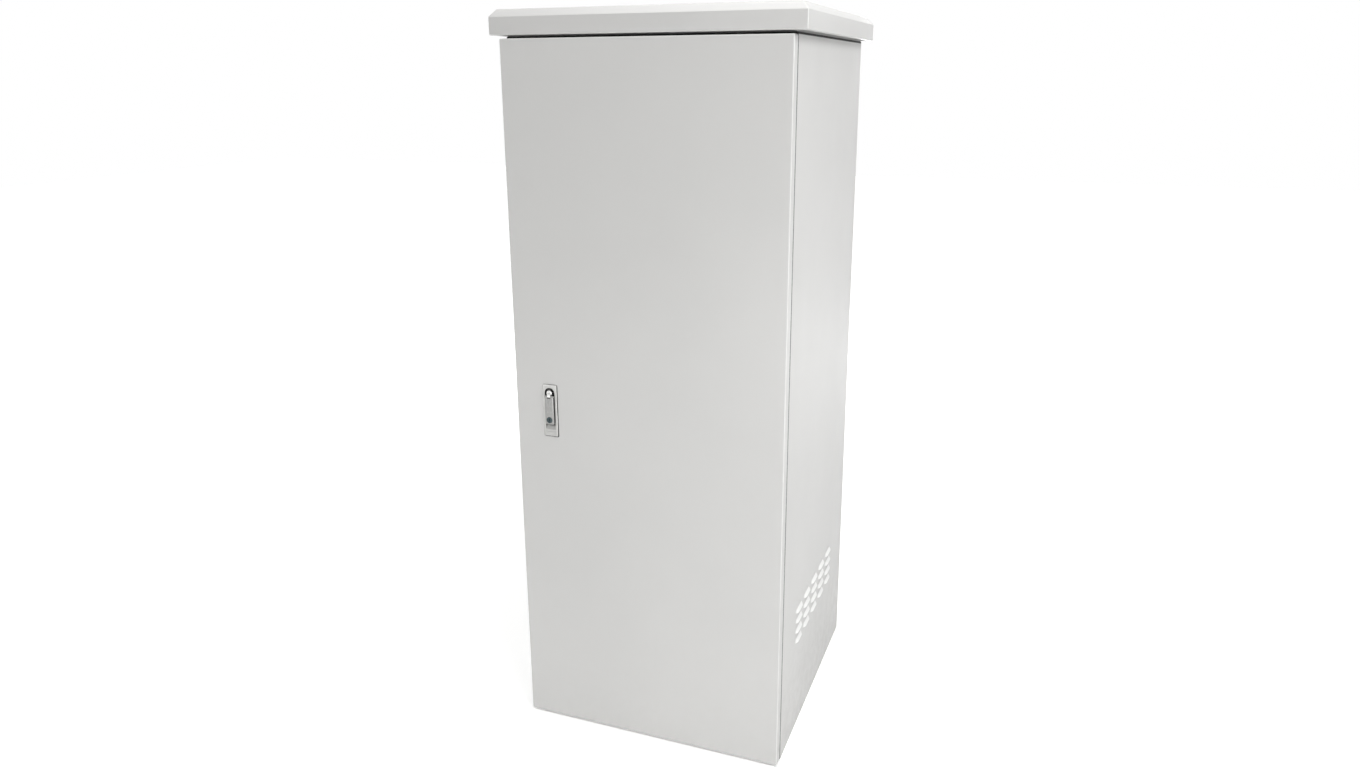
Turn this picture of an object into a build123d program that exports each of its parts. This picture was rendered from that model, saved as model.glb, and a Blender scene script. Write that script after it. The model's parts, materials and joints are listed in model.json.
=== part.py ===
# Roadside utility cabinet: a folded-sheet outdoor enclosure with one full-height door,
# pressed air louvres low on both sides, an overhanging canopy roof, and an equipment rack inside.
# Millimetres. +Z is up, the door faces -Y, the hinges are on the +X side.
# The origin is the centre of the base, on the ground.
from build123d import *
from math import acos, atan2, cos, pi, radians, sin, tan
import os

os.makedirs("parts", exist_ok=True)

# Body: its width is the rack's width and the space beside the rack
rack_hole_spacing = 465.1
rail_face = 32.0
side_space = 74.45
body_depth = 635.0
body_height = 1650.0
body_sheet = 2.0
bend_radius = 3.0
rear_flange_width = 25.0

# Rain rim around the door opening
rim_width = 30.0
rim_rise = 17.0

# Door
door_thickness = 25.0
door_sheet = 2.0
door_gap = 5.0
door_ground_gap = 4.0

# Roof
roof_lift = 6.6
roof_side_overhang = 25.5
roof_front_setback = 2.0
roof_rear_overhang = 15.0
roof_sheet = 2.0
fascia_height = 38.0
bevel_height = 16.0
bevel_inset = 13.5
fascia_lip = 12.0
roof_corner_radius = 3.0

# Roof carrier
tray_sheet = 2.0
tray_drop = 6.0
tray_rise = 24.0
tray_lip = 22.0
vent_length = 380.0
vent_width = 110.0
vent_spread = 250.0
channel_base = 40.0
channel_brim = 15.0
channel_sheet = 2.0
channel_spread = 400.0
channel_end_gap = 1.0
roof_bolt_size = 8.0

# Base
base_sheet = 3.0
base_flange = 30.0
anchor_spacing_x = 520.0
anchor_spacing_y = 500.0
anchor_hole_radius = 7.0
cable_cutout_x = 320.0
cable_cutout_y = 180.0
cable_cutout_centre = 115.0
gland_plate_border = 20.0
gland_plate_sheet = 2.5
grommet_hole_radius = 25.0
grommet_columns = 3
grommet_rows = 2
grommet_pitch_x = 95.0
grommet_pitch_y = 80.0

# Louvres
louvre_length = 58.0
louvre_height = 13.0
louvre_proud = 6.5
louvre_columns = 5
louvre_rows = 4
louvre_pitch_y = 77.0
louvre_pitch_z = 27.0
louvre_centre_y = -22.0
louvre_centre_z = 293.0

# Filter behind the louvres
filter_depth = 18.0
filter_wall = 2.0
filter_margin = 14.0
mat_thickness = 12.0
mat_clearance = 0.3

# Equipment rack
rack_unit = 44.45
rack_hole_steps = (6.35, 22.225, 38.1)
rack_hole_size = 9.5
rail_web = 38.0
rail_sheet = 2.0
rail_bottom = 75.0
rail_top_space = 90.0
front_rail_setback = 70.0
rear_rail_setback = 110.0
support_inset = 110.0
support_height = 40.0
support_brim = 14.0
support_sheet = 2.0
support_end_gap = 22.0

# Hinges
hinge_inset = 200.0
hinge_axis_inset = 8.0
hinge_axis_depth = 17.5
hinge_pin_radius = 3.0
hinge_running_gap = 0.05
hinge_end_gap = 0.3
strap_sheet = 2.5
body_eye_radius = 5.5
door_eye_radius = 6.0
body_eye_height = 40.0
door_eye_height = 20.0
leaf_end = 15.0
pin_head_radius = 4.5
pin_head_height = 2.5

# Door seal and stiffeners
seal_width = 12.0
seal_clearance = 0.3
stiffener_places = (-70.0, 150.0)
stiffener_width = 50.0
stiffener_depth = 16.0
stiffener_brim = 14.0
stiffener_sheet = 1.5
stiffener_end_gap = 70.0

# Lock
lock_inset = 88.0
lock_below_middle = 2.0
lock_plate_width = 36.0
lock_plate_height = 126.0
lock_plate_proud = 2.0
lock_corner = 3.0
lock_body_width = 30.0
lock_body_height = 118.0
lock_body_depth = 14.5
lock_fit_gap = 0.3
trough_width = 25.0
trough_depth = 8.0
spindle_above_centre = 42.5
scoop_height = 15.0
scoop_bottom = 46.5
boss_radius = 7.0
boss_low_front = 1.9
boss_high_front = 5.0
journal_radius = 6.0
running_gap = 0.05
shank_size = 8.0
lever_width = 23.0
lever_thickness = 5.1
lever_lift_gap = 0.3
lever_bottom_above_centre = -34.0
lever_corner = 4.0
lever_wall = 1.6
pin_below_spindle = 8.0
lever_pin_radius = 1.5
lug_width = 8.0
lug_gap = 0.3
crown_gap = 1.2
knuckle_relief = 1.4
key_below_centre = 22.0
barrel_radius = 7.4
plug_radius = 5.4
barrel_proud = 1.0
keyway_width = 1.4
keyway_length = 6.5
cam_length = 7.0
cam_width = 6.0
cam_thickness = 1.3

# Rack and pinion, and the locking bars
tooth_module = 2.5
pinion_teeth = 10
pressure_angle = 25.0
addendum = 1.8
dedendum = 2.3
tooth_backlash = 0.25
bar_thickness = 5.0
bar_back = 12.0
bar_flange_gap = 5.0
bar_end_gap = 1.0
bar_tip_chamfer = 4.0
bar_slide_gap = 0.4
rack_gaps_before = 1
rack_gaps_after = 4
guide_inset = 130.0
guide_pitch = 340.0
guide_height = 18.0
guide_wall = 5.0
guide_foot = 44.0
guide_foot_sheet = 3.0
guide_stem = 12.0
gearbox_width = 48.0
gearbox_height = 142.0
gearbox_wall = 3.0
gear_case_wall = 9.0
gear_case_height = 90.0
cover_thickness = 3.0

# Panel, vent, grommet and lock details
rear_stud_rows = 6
rear_stud_end = 75.0
rear_stud_spare = 2.0
louvre_wall = 1.6
louvre_shoulder_height = 0.52
louvre_shoulder_depth = 0.72
filter_frame = 12.0
guard_border = 12.0
guard_sheet = 1.2
guard_slots = 16
guard_slot = 8.0
guard_slot_length = 40.0
grommet_gap = 0.1
grommet_brim = 3.5
grommet_brim_height = 2.0
grommet_rise = 9.0
grommet_membrane = 1.5
grommet_tip_share = 0.45
grommet_foot_share = 0.8
grommet_inner_share = 0.4
rail_end = 8.0
rail_bolt_edge = 14.0
strap_lip_gap = 1.0
leaf_clearance = 2.0
lock_plate_soft = 0.9
groove_width = 22.0
groove_depth = 0.8
groove_height = 1.6
groove_below = 4.5
dish_screw_spread = 18.0
dish_screw_below = 51.0
dish_screw_depth = 6.0
boss_soft = 1.6
shank_end_gap = 0.2
lever_soft = 3.0
barrel_soft = 0.5
cam_back_gap = 0.5
washer_sheet = 1.0
washer_radius = 6.4
guide_soft = 1.5
gear_case_floor = 7.0
case_neck_wall = 5.0
case_soft = 3.0
case_screw_edge = 8.0
cover_hole_radius = 8.0

# Fasteners
small_screw = 5.0
rack_screw = 6.0
head_height_share = 0.6
head_width_share = 1.7
nut_height_share = 0.8
hole_gap = 0.4
gear_screw = 4.0

# Clearance between fixed pieces, how far a cutter runs past what it cuts, and the inside of a small bend
screw_fit = 0.1
over = 1.0
inner_bend = 1.0

# Derived planes
body_width = rack_hole_spacing + rail_face + 2 * (side_space + body_sheet)
half_width = body_width / 2
middle_height = body_height / 2
support_heights = (support_inset, middle_height, body_height - support_inset)
hinge_heights = (hinge_inset, middle_height, body_height - hinge_inset)
lock_centre_z = middle_height - lock_below_middle
lower_guides = (guide_inset, guide_inset + guide_pitch)
upper_guides = (body_height - guide_inset - guide_pitch, body_height - guide_inset)
half_depth = body_depth / 2
body_front = -half_depth
body_rear = half_depth
inner_x = half_width - body_sheet
door_back = body_front - door_gap
door_front = door_back - door_thickness
door_inner = door_front + door_sheet
rim_tip = body_front - rim_rise
rim_low = rim_width
rim_high = body_height - rim_width
lip_x = half_width - rim_width
flange_back = body_front + body_sheet
shell_rear = body_rear - body_sheet
fascia_bottom = body_height + roof_lift
fascia_top = fascia_bottom + fascia_height
roof_top = fascia_top + bevel_height
roof_front = door_front + roof_front_setback
roof_rear = body_rear + roof_rear_overhang
tray_floor_top = body_height - tray_drop
tray_top = body_height + tray_rise
roof_inside_top = roof_top - roof_sheet


def block(x0, x1, y0, y1, z0, z1):
    centre = Pos((x0 + x1) / 2, (y0 + y1) / 2, (z0 + z1) / 2)
    return centre * Box(x1 - x0, y1 - y0, z1 - z0)


# A bent strip seen from above, drawn along the middle of its sheet, and raised from low to high
def bent_upright(points, sheet, low, high):
    path = FilletPolyline(*points, radius=sheet)
    return Pos(0, 0, low) * extrude(trace(path, sheet), high - low)


# The same strip seen from the front, in X and Z, and run backwards from near to far
def bent_lengthwise(points, sheet, near, far):
    path = FilletPolyline(*points, radius=sheet)
    profile = Plane.XZ * trace(path, sheet)
    return Pos(0, near, 0) * extrude(profile, -(far - near))


# A strip seen from the side, in Y and Z, and run across from left to right
def bent_crosswise(points, sheet, left, right):
    path = FilletPolyline(*points, radius=sheet)
    profile = Plane.YZ * trace(path, sheet)
    return Pos(left, 0, 0) * extrude(profile, right - left)


# A round bar along each axis, between two places on it
def rod_x(radius, x0, x1, y, z):
    return Pos((x0 + x1) / 2, y, z) * Rot(0, 90, 0) * Cylinder(radius, x1 - x0)


def rod_y(radius, y0, y1, x, z):
    return Pos(x, (y0 + y1) / 2, z) * Rot(90, 0, 0) * Cylinder(radius, y1 - y0)


def rod_z(radius, z0, z1, x, y):
    return Pos(x, y, (z0 + z1) / 2) * Cylinder(radius, z1 - z0)


# Hexagon-headed screw with its head above z = 0, and a plain nut standing on z = 0
def hexagon(size, length):
    return extrude(RegularPolygon(size * head_width_share / 2, 6, major_radius=False), length)


def hex_screw(size, length):
    return hexagon(size, size * head_height_share) + rod_z(size / 2, -length, 0, 0, 0)


def hex_nut(size):
    height = size * nut_height_share
    return hexagon(size, height) - rod_z(size / 2 + running_gap, -over, height + over, 0, 0)


def mirrored(shape):
    return mirror(shape, about=Plane.YZ)


def grouped(pieces):
    return Compound(children=list(pieces))


def save(shape, node):
    export_step(shape, "parts/" + node + ".step")


# Pressed louvres: a hood with rounded ends, open downwards, seen here on the right side of the body
def louvre_hood(length, height, proud):
    straight = length - 2 * height
    shoulder = (height * louvre_shoulder_height, proud * louvre_shoulder_depth)
    half_profile = make_face(Polyline((0, 0), (0, proud), shoulder, (height, 0), close=True))
    quarter = revolve(Plane.XZ * half_profile, Axis.Z, 90)
    middle_profile = Plane.XZ * make_face(
        Polyline((0, 0), (proud, 0), (shoulder[1], shoulder[0]), (0, height), close=True)
    )
    middle = Pos(0, straight / 2, 0) * extrude(middle_profile, straight)
    ends = [
        Pos(0, side * straight / 2, 0) * Rot(0, 90, 0) * Rot(0, 0, 135 - side * 45) * quarter
        for side in (-1, 1)
    ]
    return middle + ends


def louvre_places():
    places = []
    for column in range(louvre_columns):
        for row in range(louvre_rows):
            y = louvre_centre_y + (column - (louvre_columns - 1) / 2) * louvre_pitch_y
            z = louvre_centre_z + (row - (louvre_rows - 1) / 2) * louvre_pitch_z
            places.append((y, z - louvre_height / 2))
    return places


# Side panel: one sheet folded in at the front, forward into the rain rim, and in again at the back
def side_panel():
    middle = body_sheet / 2
    outline = [
        (lip_x - middle, rim_tip),
        (lip_x - middle, body_front + middle),
        (half_width - middle, body_front + middle),
        (half_width - middle, shell_rear - middle),
        (half_width - rear_flange_width, shell_rear - middle),
    ]
    shell = bent_upright(outline, body_sheet, 0, body_height)
    # The rim stops short of the door's own top and bottom edges
    trims = [
        block(0, half_width, rim_tip - over, body_front, low, high)
        for low, high in ((-over, rim_low), (rim_high, body_height + over))
    ]
    hood = Pos(half_width, 0, 0) * louvre_hood(louvre_length, louvre_height, louvre_proud)
    opening = louvre_hood(
        louvre_length - 2 * louvre_wall,
        louvre_height - louvre_wall,
        louvre_proud - louvre_wall,
    )
    # The same opening is carried back through the sheet, so that air passes under the hood
    slot = extrude(Plane.YZ * make_face(Polyline(*opening_outline(), close=True)), -(body_sheet + over))
    hoods = [Pos(0, y, z) * hood for y, z in louvre_places()]
    cuts = [Pos(half_width, y, z) * cut for y, z in louvre_places() for cut in (opening, slot)]
    return (shell - trims + hoods) - cuts - stud_holes


def opening_outline():
    half_length = louvre_length / 2 - louvre_wall
    height = louvre_height - louvre_wall
    chamfer = height * louvre_shoulder_height
    return [
        (-half_length, 0),
        (half_length, 0),
        (half_length - chamfer / 2, chamfer),
        (half_length - height, height),
        (-half_length + height, height),
        (-half_length + chamfer / 2, chamfer),
    ]


# Rear panel: a flat sheet on the side panels' rear flanges, held by welded studs and nuts inside
flange_front = shell_rear - body_sheet
stud_x = half_width - (rear_flange_width + body_sheet) / 2
stud_step = (body_height - 2 * rear_stud_end) / (rear_stud_rows - 1)
stud_heights = [rear_stud_end + stud_step * row for row in range(rear_stud_rows)]
stud_places = [(side * stud_x, z) for side in (-1, 1) for z in stud_heights]
nut_height = small_screw * nut_height_share
stud_tip = flange_front - nut_height - rear_stud_spare
stud_holes = [
    rod_y(small_screw / 2 + hole_gap, flange_front - over, shell_rear + over, x, z)
    for x, z in stud_places
]
rear_half = half_width - bend_radius
rear_sheet = block(-rear_half, rear_half, shell_rear, body_rear, 0, body_height)
rear_panel = rear_sheet + [rod_y(small_screw / 2, stud_tip, shell_rear, x, z) for x, z in stud_places]
stud_nut = Rot(90, 0, 0) * hex_nut(small_screw)
save(rear_panel, "rear_panel")
save(grouped([Pos(x, flange_front, z) * stud_nut for x, z in stud_places]), "rear_panel_nuts")

right_panel = side_panel()
save(right_panel, "side_panel_right")
save(mirrored(right_panel), "side_panel_left")


# Rain rim across the top and bottom of the opening, between the side panels
rim_middle = body_sheet / 2
rim_end = lip_x - body_sheet
header_line = [
    (rim_tip, rim_high - rim_middle),
    (body_front + rim_middle, rim_high - rim_middle),
    (body_front + rim_middle, body_height),
]
sill_line = [
    (rim_tip, rim_low + rim_middle),
    (body_front + rim_middle, rim_low + rim_middle),
    (body_front + rim_middle, 0),
]
save(bent_crosswise(header_line, body_sheet, -rim_end, rim_end), "front_header")
save(bent_crosswise(sill_line, body_sheet, -rim_end, rim_end), "front_sill")


# Folded pan with rounded corners and lower edges, used for the base and for the roof's carrier
def folded_pan(low, high, sheet):
    outer = block(-inner_x, inner_x, flange_back, flange_front, low, high)
    outer = fillet(outer.edges().group_by(Axis.Z)[0] + outer.edges().filter_by(Axis.Z), sheet + inner_bend)
    inner = block(
        -inner_x + sheet,
        inner_x - sheet,
        flange_back + sheet,
        flange_front - sheet,
        low + sheet,
        high + 2 * sheet,
    )
    inner = fillet(inner.edges().group_by(Axis.Z)[0] + inner.edges().filter_by(Axis.Z), inner_bend)
    return outer - inner


# Base pan, with anchor holes and a cable cut-out under a gland plate
anchors = [
    rod_z(anchor_hole_radius, -over, base_sheet + over, sx * anchor_spacing_x / 2, sy * anchor_spacing_y / 2)
    for sx in (-1, 1)
    for sy in (-1, 1)
]
cutout = block(
    -cable_cutout_x / 2,
    cable_cutout_x / 2,
    cable_cutout_centre - cable_cutout_y / 2,
    cable_cutout_centre + cable_cutout_y / 2,
    -over,
    base_sheet + over,
)
plate_x = cable_cutout_x / 2 + gland_plate_border
plate_y = cable_cutout_y / 2 + gland_plate_border
plate_top = base_sheet + gland_plate_sheet
screw_x = cable_cutout_x / 2 + gland_plate_border / 2
screw_y = cable_cutout_y / 2 + gland_plate_border / 2
gland_screw_places = [
    (sx * screw_x, cable_cutout_centre + sy * screw_y)
    for sx in (-1, 0, 1)
    for sy in (-1, 1)
]
gland_screw_holes = [
    rod_z(small_screw / 2 + hole_gap, -over, plate_top + over, x, y)
    for x, y in gland_screw_places
]
save(folded_pan(0, base_flange, base_sheet) - anchors - cutout - gland_screw_holes, "base_pan")

grommet_places = [
    (
        (column - (grommet_columns - 1) / 2) * grommet_pitch_x,
        cable_cutout_centre + (row - (grommet_rows - 1) / 2) * grommet_pitch_y,
    )
    for column in range(grommet_columns)
    for row in range(grommet_rows)
]
gland_plate = block(
    -plate_x,
    plate_x,
    cable_cutout_centre - plate_y,
    cable_cutout_centre + plate_y,
    base_sheet,
    plate_top,
)
grommet_holes = [
    rod_z(grommet_hole_radius, base_sheet - over, plate_top + over, x, y)
    for x, y in grommet_places
]
save(gland_plate - gland_screw_holes - grommet_holes, "gland_plate")

# Membrane grommets: a groove grips the plate, and a thin closed cone is cut for each cable
neck_radius = grommet_hole_radius - grommet_gap
brim_radius = grommet_hole_radius + grommet_brim
grommet_line = [
    (0, plate_top + grommet_rise),
    (neck_radius * grommet_tip_share, plate_top + grommet_rise),
    (neck_radius * grommet_foot_share, plate_top + grommet_brim_height),
    (brim_radius, plate_top + grommet_brim_height),
    (brim_radius, plate_top),
    (neck_radius, plate_top),
    (neck_radius, base_sheet),
    (brim_radius, base_sheet),
    (brim_radius - grommet_brim_height / 2, base_sheet - grommet_brim_height),
    (neck_radius - grommet_brim, base_sheet - grommet_brim_height),
    (neck_radius * grommet_inner_share, plate_top + grommet_rise - grommet_membrane),
    (0, plate_top + grommet_rise - grommet_membrane),
]
grommet = revolve(Plane.XZ * make_face(Polyline(*grommet_line, close=True)), Axis.Z, 360)
save(grouped([Pos(x, y, 0) * grommet for x, y in grommet_places]), "cable_grommets")
gland_screw = Pos(0, 0, plate_top) * hex_screw(small_screw, plate_top)
save(grouped([Pos(x, y, 0) * gland_screw for x, y in gland_screw_places]), "gland_screws")


# Roof carrier: a pan turned up inside the body's walls, with vents in its floor
carrier = folded_pan(tray_floor_top - tray_sheet, tray_top, tray_sheet)
lips = [
    block(-inner_x + tray_sheet, inner_x - tray_sheet, y0, y1, tray_top - tray_sheet, tray_top)
    for y0, y1 in (
        (flange_back + tray_sheet / 2, flange_back + tray_lip),
        (flange_front - tray_lip, flange_front - tray_sheet / 2),
    )
]
vent_cuts = [
    block(
        -vent_length / 2,
        vent_length / 2,
        side * vent_spread / 2 - vent_width / 2,
        side * vent_spread / 2 + vent_width / 2,
        tray_floor_top - 2 * tray_sheet,
        tray_floor_top + over,
    )
    for side in (-1, 1)
]
roof_bolt_ys = (flange_back + tray_lip / 2, flange_front - tray_lip / 2)
roof_bolt_places = [(side * channel_spread / 2, y) for side in (-1, 1) for y in roof_bolt_ys]
roof_bolt_holes = [
    rod_z(roof_bolt_size / 2 + hole_gap, tray_top - tray_lip, tray_top + channel_sheet + over, x, y)
    for x, y in roof_bolt_places
]
save(carrier + lips - vent_cuts - roof_bolt_holes, "roof_carrier")


# Slotted guards over the vents
def vent_guard(centre_y):
    guard = block(
        -vent_length / 2 - guard_border,
        vent_length / 2 + guard_border,
        centre_y - vent_width / 2 - guard_border,
        centre_y + vent_width / 2 + guard_border,
        tray_floor_top,
        tray_floor_top + guard_sheet,
    )
    slot_sketch = Rectangle(guard_slot, guard_slot_length)
    pitch = vent_length / guard_slots
    slots = [
        Pos((number - (guard_slots - 1) / 2) * pitch, centre_y + side * vent_width / 4) * slot_sketch
        for number in range(guard_slots)
        for side in (-1, 1)
    ]
    return guard - extrude(Pos(0, 0, tray_floor_top) * (Sketch() + slots), 2 * guard_sheet, both=True)


save(grouped([vent_guard(side * vent_spread / 2) for side in (-1, 1)]), "vent_guards")


# Roof canopy: fascia, bevelled edge and top in one welded sheet, with an inward lip below.
# It is the part that two gabled profiles and the plan have in common, one profile from each side.
def gabled_profile(low_end, high_end, low, shoulder, high, top_inset):
    line = [
        (low_end, low),
        (high_end, low),
        (high_end, shoulder),
        (high_end - top_inset, high),
        (low_end + top_inset, high),
        (low_end, shoulder),
    ]
    return make_face(Polyline(*line, close=True))


def roof_block(inset, low, shoulder, high, top_inset, radius):
    side = half_width + roof_side_overhang - inset
    front = roof_front + inset
    rear = roof_rear - inset
    along = Plane.XZ.offset(-front) * gabled_profile(-side, side, low, shoulder, high, top_inset)
    across = Plane.YZ.offset(-side) * gabled_profile(front, rear, low, shoulder, high, top_inset)
    plan = Pos(0, (front + rear) / 2, low) * RectangleRounded(2 * side, rear - front, radius)
    return extrude(plan, high - low) & extrude(along, -(rear - front)) & extrude(across, 2 * side)


bevel_slope = atan2(bevel_height, bevel_inset)
shoulder_drop = roof_sheet * tan((pi / 2 - bevel_slope) / 2)
top_shift = roof_sheet * tan(bevel_slope / 2)
roof_outer = roof_block(0, fascia_bottom, fascia_top, roof_top, bevel_inset, roof_corner_radius)
roof_hollow = roof_block(
    roof_sheet,
    fascia_bottom + roof_sheet,
    fascia_top - shoulder_drop,
    roof_inside_top,
    bevel_inset + top_shift - roof_sheet,
    roof_corner_radius - roof_sheet,
)
roof_mouth = block(
    -half_width - roof_side_overhang + fascia_lip,
    half_width + roof_side_overhang - fascia_lip,
    roof_front + fascia_lip,
    roof_rear - fascia_lip,
    fascia_bottom - over,
    fascia_bottom + 2 * roof_sheet,
)
save(roof_outer - roof_hollow - roof_mouth, "roof_canopy")


# Channels under the roof that stand on the carrier's lips, bolted from inside
def roof_channel(centre_x):
    half = channel_sheet / 2
    side_x = channel_base / 2 - half
    line = [
        (-side_x - channel_brim, roof_inside_top - half),
        (-side_x, roof_inside_top - half),
        (-side_x, tray_top + half),
        (side_x, tray_top + half),
        (side_x, roof_inside_top - half),
        (side_x + channel_brim, roof_inside_top - half),
    ]
    near = flange_back + channel_end_gap
    far = flange_front - channel_end_gap
    return Pos(centre_x, 0, 0) * bent_lengthwise(line, channel_sheet, near, far)


weld_nut = Pos(0, 0, tray_top + channel_sheet) * hex_nut(roof_bolt_size)
for side, name in ((-1, "left"), (1, "right")):
    channel = roof_channel(side * channel_spread / 2) - roof_bolt_holes
    nuts = [Pos(side * channel_spread / 2, y, 0) * weld_nut for y in roof_bolt_ys]
    save(channel + nuts, "roof_channel_" + name)

bolt_length = tray_sheet + channel_sheet + roof_bolt_size
roof_bolt = Pos(0, 0, tray_top - tray_sheet) * Rot(180, 0, 0) * hex_screw(roof_bolt_size, bolt_length)
save(grouped([Pos(x, y, 0) * roof_bolt for x, y in roof_bolt_places]), "roof_bolts")


# Filter holder behind the louvres, open at the top so that the mat slides in
filter_half = ((louvre_columns - 1) * louvre_pitch_y + louvre_length) / 2 + filter_margin
filter_low = louvre_centre_z - ((louvre_rows - 1) * louvre_pitch_z + louvre_height) / 2 - filter_margin
filter_high = 2 * louvre_centre_z - filter_low
filter_inner = inner_x - filter_depth
filter_middle = inner_x - filter_depth / 2
pocket_half = mat_thickness / 2 + mat_clearance
filter_holder = block(
    filter_inner,
    inner_x,
    louvre_centre_y - filter_half,
    louvre_centre_y + filter_half,
    filter_low,
    filter_high,
)
mat_pocket = block(
    filter_middle - pocket_half,
    filter_middle + pocket_half,
    louvre_centre_y - filter_half + filter_wall,
    louvre_centre_y + filter_half - filter_wall,
    filter_low + filter_wall,
    filter_high + over,
)
filter_window = block(
    filter_inner - over,
    inner_x + over,
    louvre_centre_y - filter_half + filter_frame,
    louvre_centre_y + filter_half - filter_frame,
    filter_low + filter_frame,
    filter_high - filter_frame,
)
mat = block(
    filter_middle - mat_thickness / 2,
    filter_middle + mat_thickness / 2,
    louvre_centre_y - filter_half + filter_wall + mat_clearance,
    louvre_centre_y + filter_half - filter_wall - mat_clearance,
    filter_low + filter_wall + mat_clearance,
    filter_high - filter_wall,
)
holder = filter_holder - mat_pocket - filter_window
save(holder, "filter_holder_right")
save(mirrored(holder), "filter_holder_left")
save(mat, "filter_mat_right")
save(mirrored(mat), "filter_mat_left")


# Rack rails: angle section with square holes, three to a unit in front and one to a unit behind
rail_x = rack_hole_spacing / 2
rail_out = rail_x + rail_face / 2
rail_in = rail_x - rail_face / 2
rack_units = int((body_height - rail_bottom - rail_top_space - 2 * rail_end) / rack_unit)
rail_length = rack_units * rack_unit + 2 * rail_end
front_rail_y = body_front + front_rail_setback
rear_rail_y = body_rear - rear_rail_setback


def rack_rail(face_y, direction, steps):
    half = rail_sheet / 2
    line = [
        (rail_in, face_y + direction * half),
        (rail_out - half, face_y + direction * half),
        (rail_out - half, face_y + direction * rail_web),
    ]
    rail = bent_upright(line, rail_sheet, rail_bottom, rail_bottom + rail_length)
    hole = Rectangle(rack_hole_size, rack_hole_size)
    first_unit = rail_bottom + rail_end
    heights = [first_unit + unit * rack_unit + step for unit in range(rack_units) for step in steps]
    holes = Sketch() + [Pos(rail_x, z) * hole for z in heights]
    punch = extrude(Plane.XZ.offset(-face_y) * holes, 2 * rail_sheet, both=True)
    return rail - punch - rail_bolt_holes(face_y, direction)


def rail_bolt_y(face_y, direction):
    return face_y + direction * (rail_web - rail_bolt_edge)


def rail_bolt_holes(face_y, direction):
    radius = rack_screw / 2 + hole_gap
    y = rail_bolt_y(face_y, direction)
    reach = rail_sheet + support_sheet + over
    return [rod_x(radius, rail_out - reach, rail_out + reach, y, z) for z in support_heights]


rail_rows = (
    ("front", front_rail_y, 1, rack_hole_steps),
    ("rear", rear_rail_y, -1, rack_hole_steps[1:2]),
)
for row, face_y, direction, steps in rail_rows:
    rail = rack_rail(face_y, direction, steps)
    save(rail, "rack_rail_" + row + "_right")
    save(mirrored(rail), "rack_rail_" + row + "_left")


# Supports that run front to back on the side panels and carry the rails
def depth_support(height):
    half = support_sheet / 2
    rise = support_height / 2 - half
    line = [
        (inner_x - half, height - rise - support_brim),
        (inner_x - half, height - rise),
        (rail_out + half, height - rise),
        (rail_out + half, height + rise),
        (inner_x - half, height + rise),
        (inner_x - half, height + rise + support_brim),
    ]
    near = body_front + support_end_gap
    far = shell_rear - support_end_gap
    support = bent_lengthwise(line, support_sheet, near, far)
    holes = rail_bolt_holes(front_rail_y, 1) + rail_bolt_holes(rear_rail_y, -1)
    return support - holes


for height, name in zip(support_heights, ("lower", "middle", "upper")):
    support = depth_support(height)
    save(support, "depth_support_" + name + "_right")
    save(mirrored(support), "depth_support_" + name + "_left")

rail_bolt = Rot(0, -90, 0) * hex_screw(rack_screw, 2 * rail_sheet + support_sheet + rack_screw)
right_bolts = [
    Pos(rail_out - rail_sheet, rail_bolt_y(face_y, direction), z) * rail_bolt
    for row, face_y, direction, steps in rail_rows
    for z in support_heights
]
save(grouped(right_bolts + [mirrored(bolt) for bolt in right_bolts]), "rail_bolts")


# Concealed hinges: a cranked strap on the body reaches round the door's edge to the pin
hinge_x = half_width - door_sheet - door_eye_radius
hinge_y = door_front + hinge_axis_depth
bore = hinge_pin_radius + hinge_running_gap
strap_x = lip_x + strap_lip_gap + strap_sheet / 2
strap_y = rim_tip + strap_sheet / 2
leaf_x = half_width - door_sheet
leaf_clear_y = hinge_y - body_eye_radius - leaf_clearance
eye_low = body_eye_height / 2 + hinge_end_gap
eye_high = eye_low + door_eye_height


def body_strap(height):
    low = height - body_eye_height / 2
    high = height + body_eye_height / 2
    line = [(hinge_x, strap_y), (strap_x, strap_y), (strap_x, body_front)]
    strap = bent_upright(line, strap_sheet, low, high)
    eye = rod_z(body_eye_radius, low, high, hinge_x, hinge_y)
    return strap + eye - rod_z(bore, low - over, high + over, hinge_x, hinge_y)


def door_leaf(height):
    inner = leaf_x - strap_sheet
    leaf = block(inner, leaf_x, leaf_front, leaf_clear_y, height - leaf_half, height + leaf_half)
    for side in (-1, 1):
        low = height + min(side * eye_low, side * eye_high)
        high = height + max(side * eye_low, side * eye_high)
        ear = block(inner, leaf_x, leaf_front, hinge_y, low, high)
        eye = rod_z(door_eye_radius, low, high, hinge_x, hinge_y)
        leaf = leaf + ear + eye - rod_z(bore, low - over, high + over, hinge_x, hinge_y)
    return leaf


def hinge_pin(height):
    head_low = height + eye_high + hinge_end_gap
    shank = rod_z(hinge_pin_radius, height - eye_high, head_low, hinge_x, hinge_y)
    return shank + rod_z(pin_head_radius, head_low, head_low + pin_head_height, hinge_x, hinge_y)


leaf_front = door_inner + bend_radius - door_sheet
leaf_half = eye_high + leaf_end
for height, name in zip(hinge_heights, ("lower", "middle", "upper")):
    save(body_strap(height), "hinge_strap_" + name)
    save(door_leaf(height), "hinge_leaf_" + name)
save(grouped([hinge_pin(height) for height in hinge_heights]), "hinge_pins")


# Door: a full-height pan with rounded edges, cut out for the lock
lock_x = -half_width + lock_inset
spindle_z = lock_centre_z + spindle_above_centre
door_low = door_ground_gap
door_high = body_height


def soft_box(x0, x1, y0, y1, z0, z1, radius):
    solid = block(x0, x1, y0, y1, z0, z1)
    rims = solid.edges().group_by(Axis.Y)[0] + solid.edges().filter_by(Axis.Y)
    return fillet(rims, radius)


def lock_outline(width, height, radius):
    return Pos(lock_x, lock_centre_z) * RectangleRounded(width, height, radius)


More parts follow.
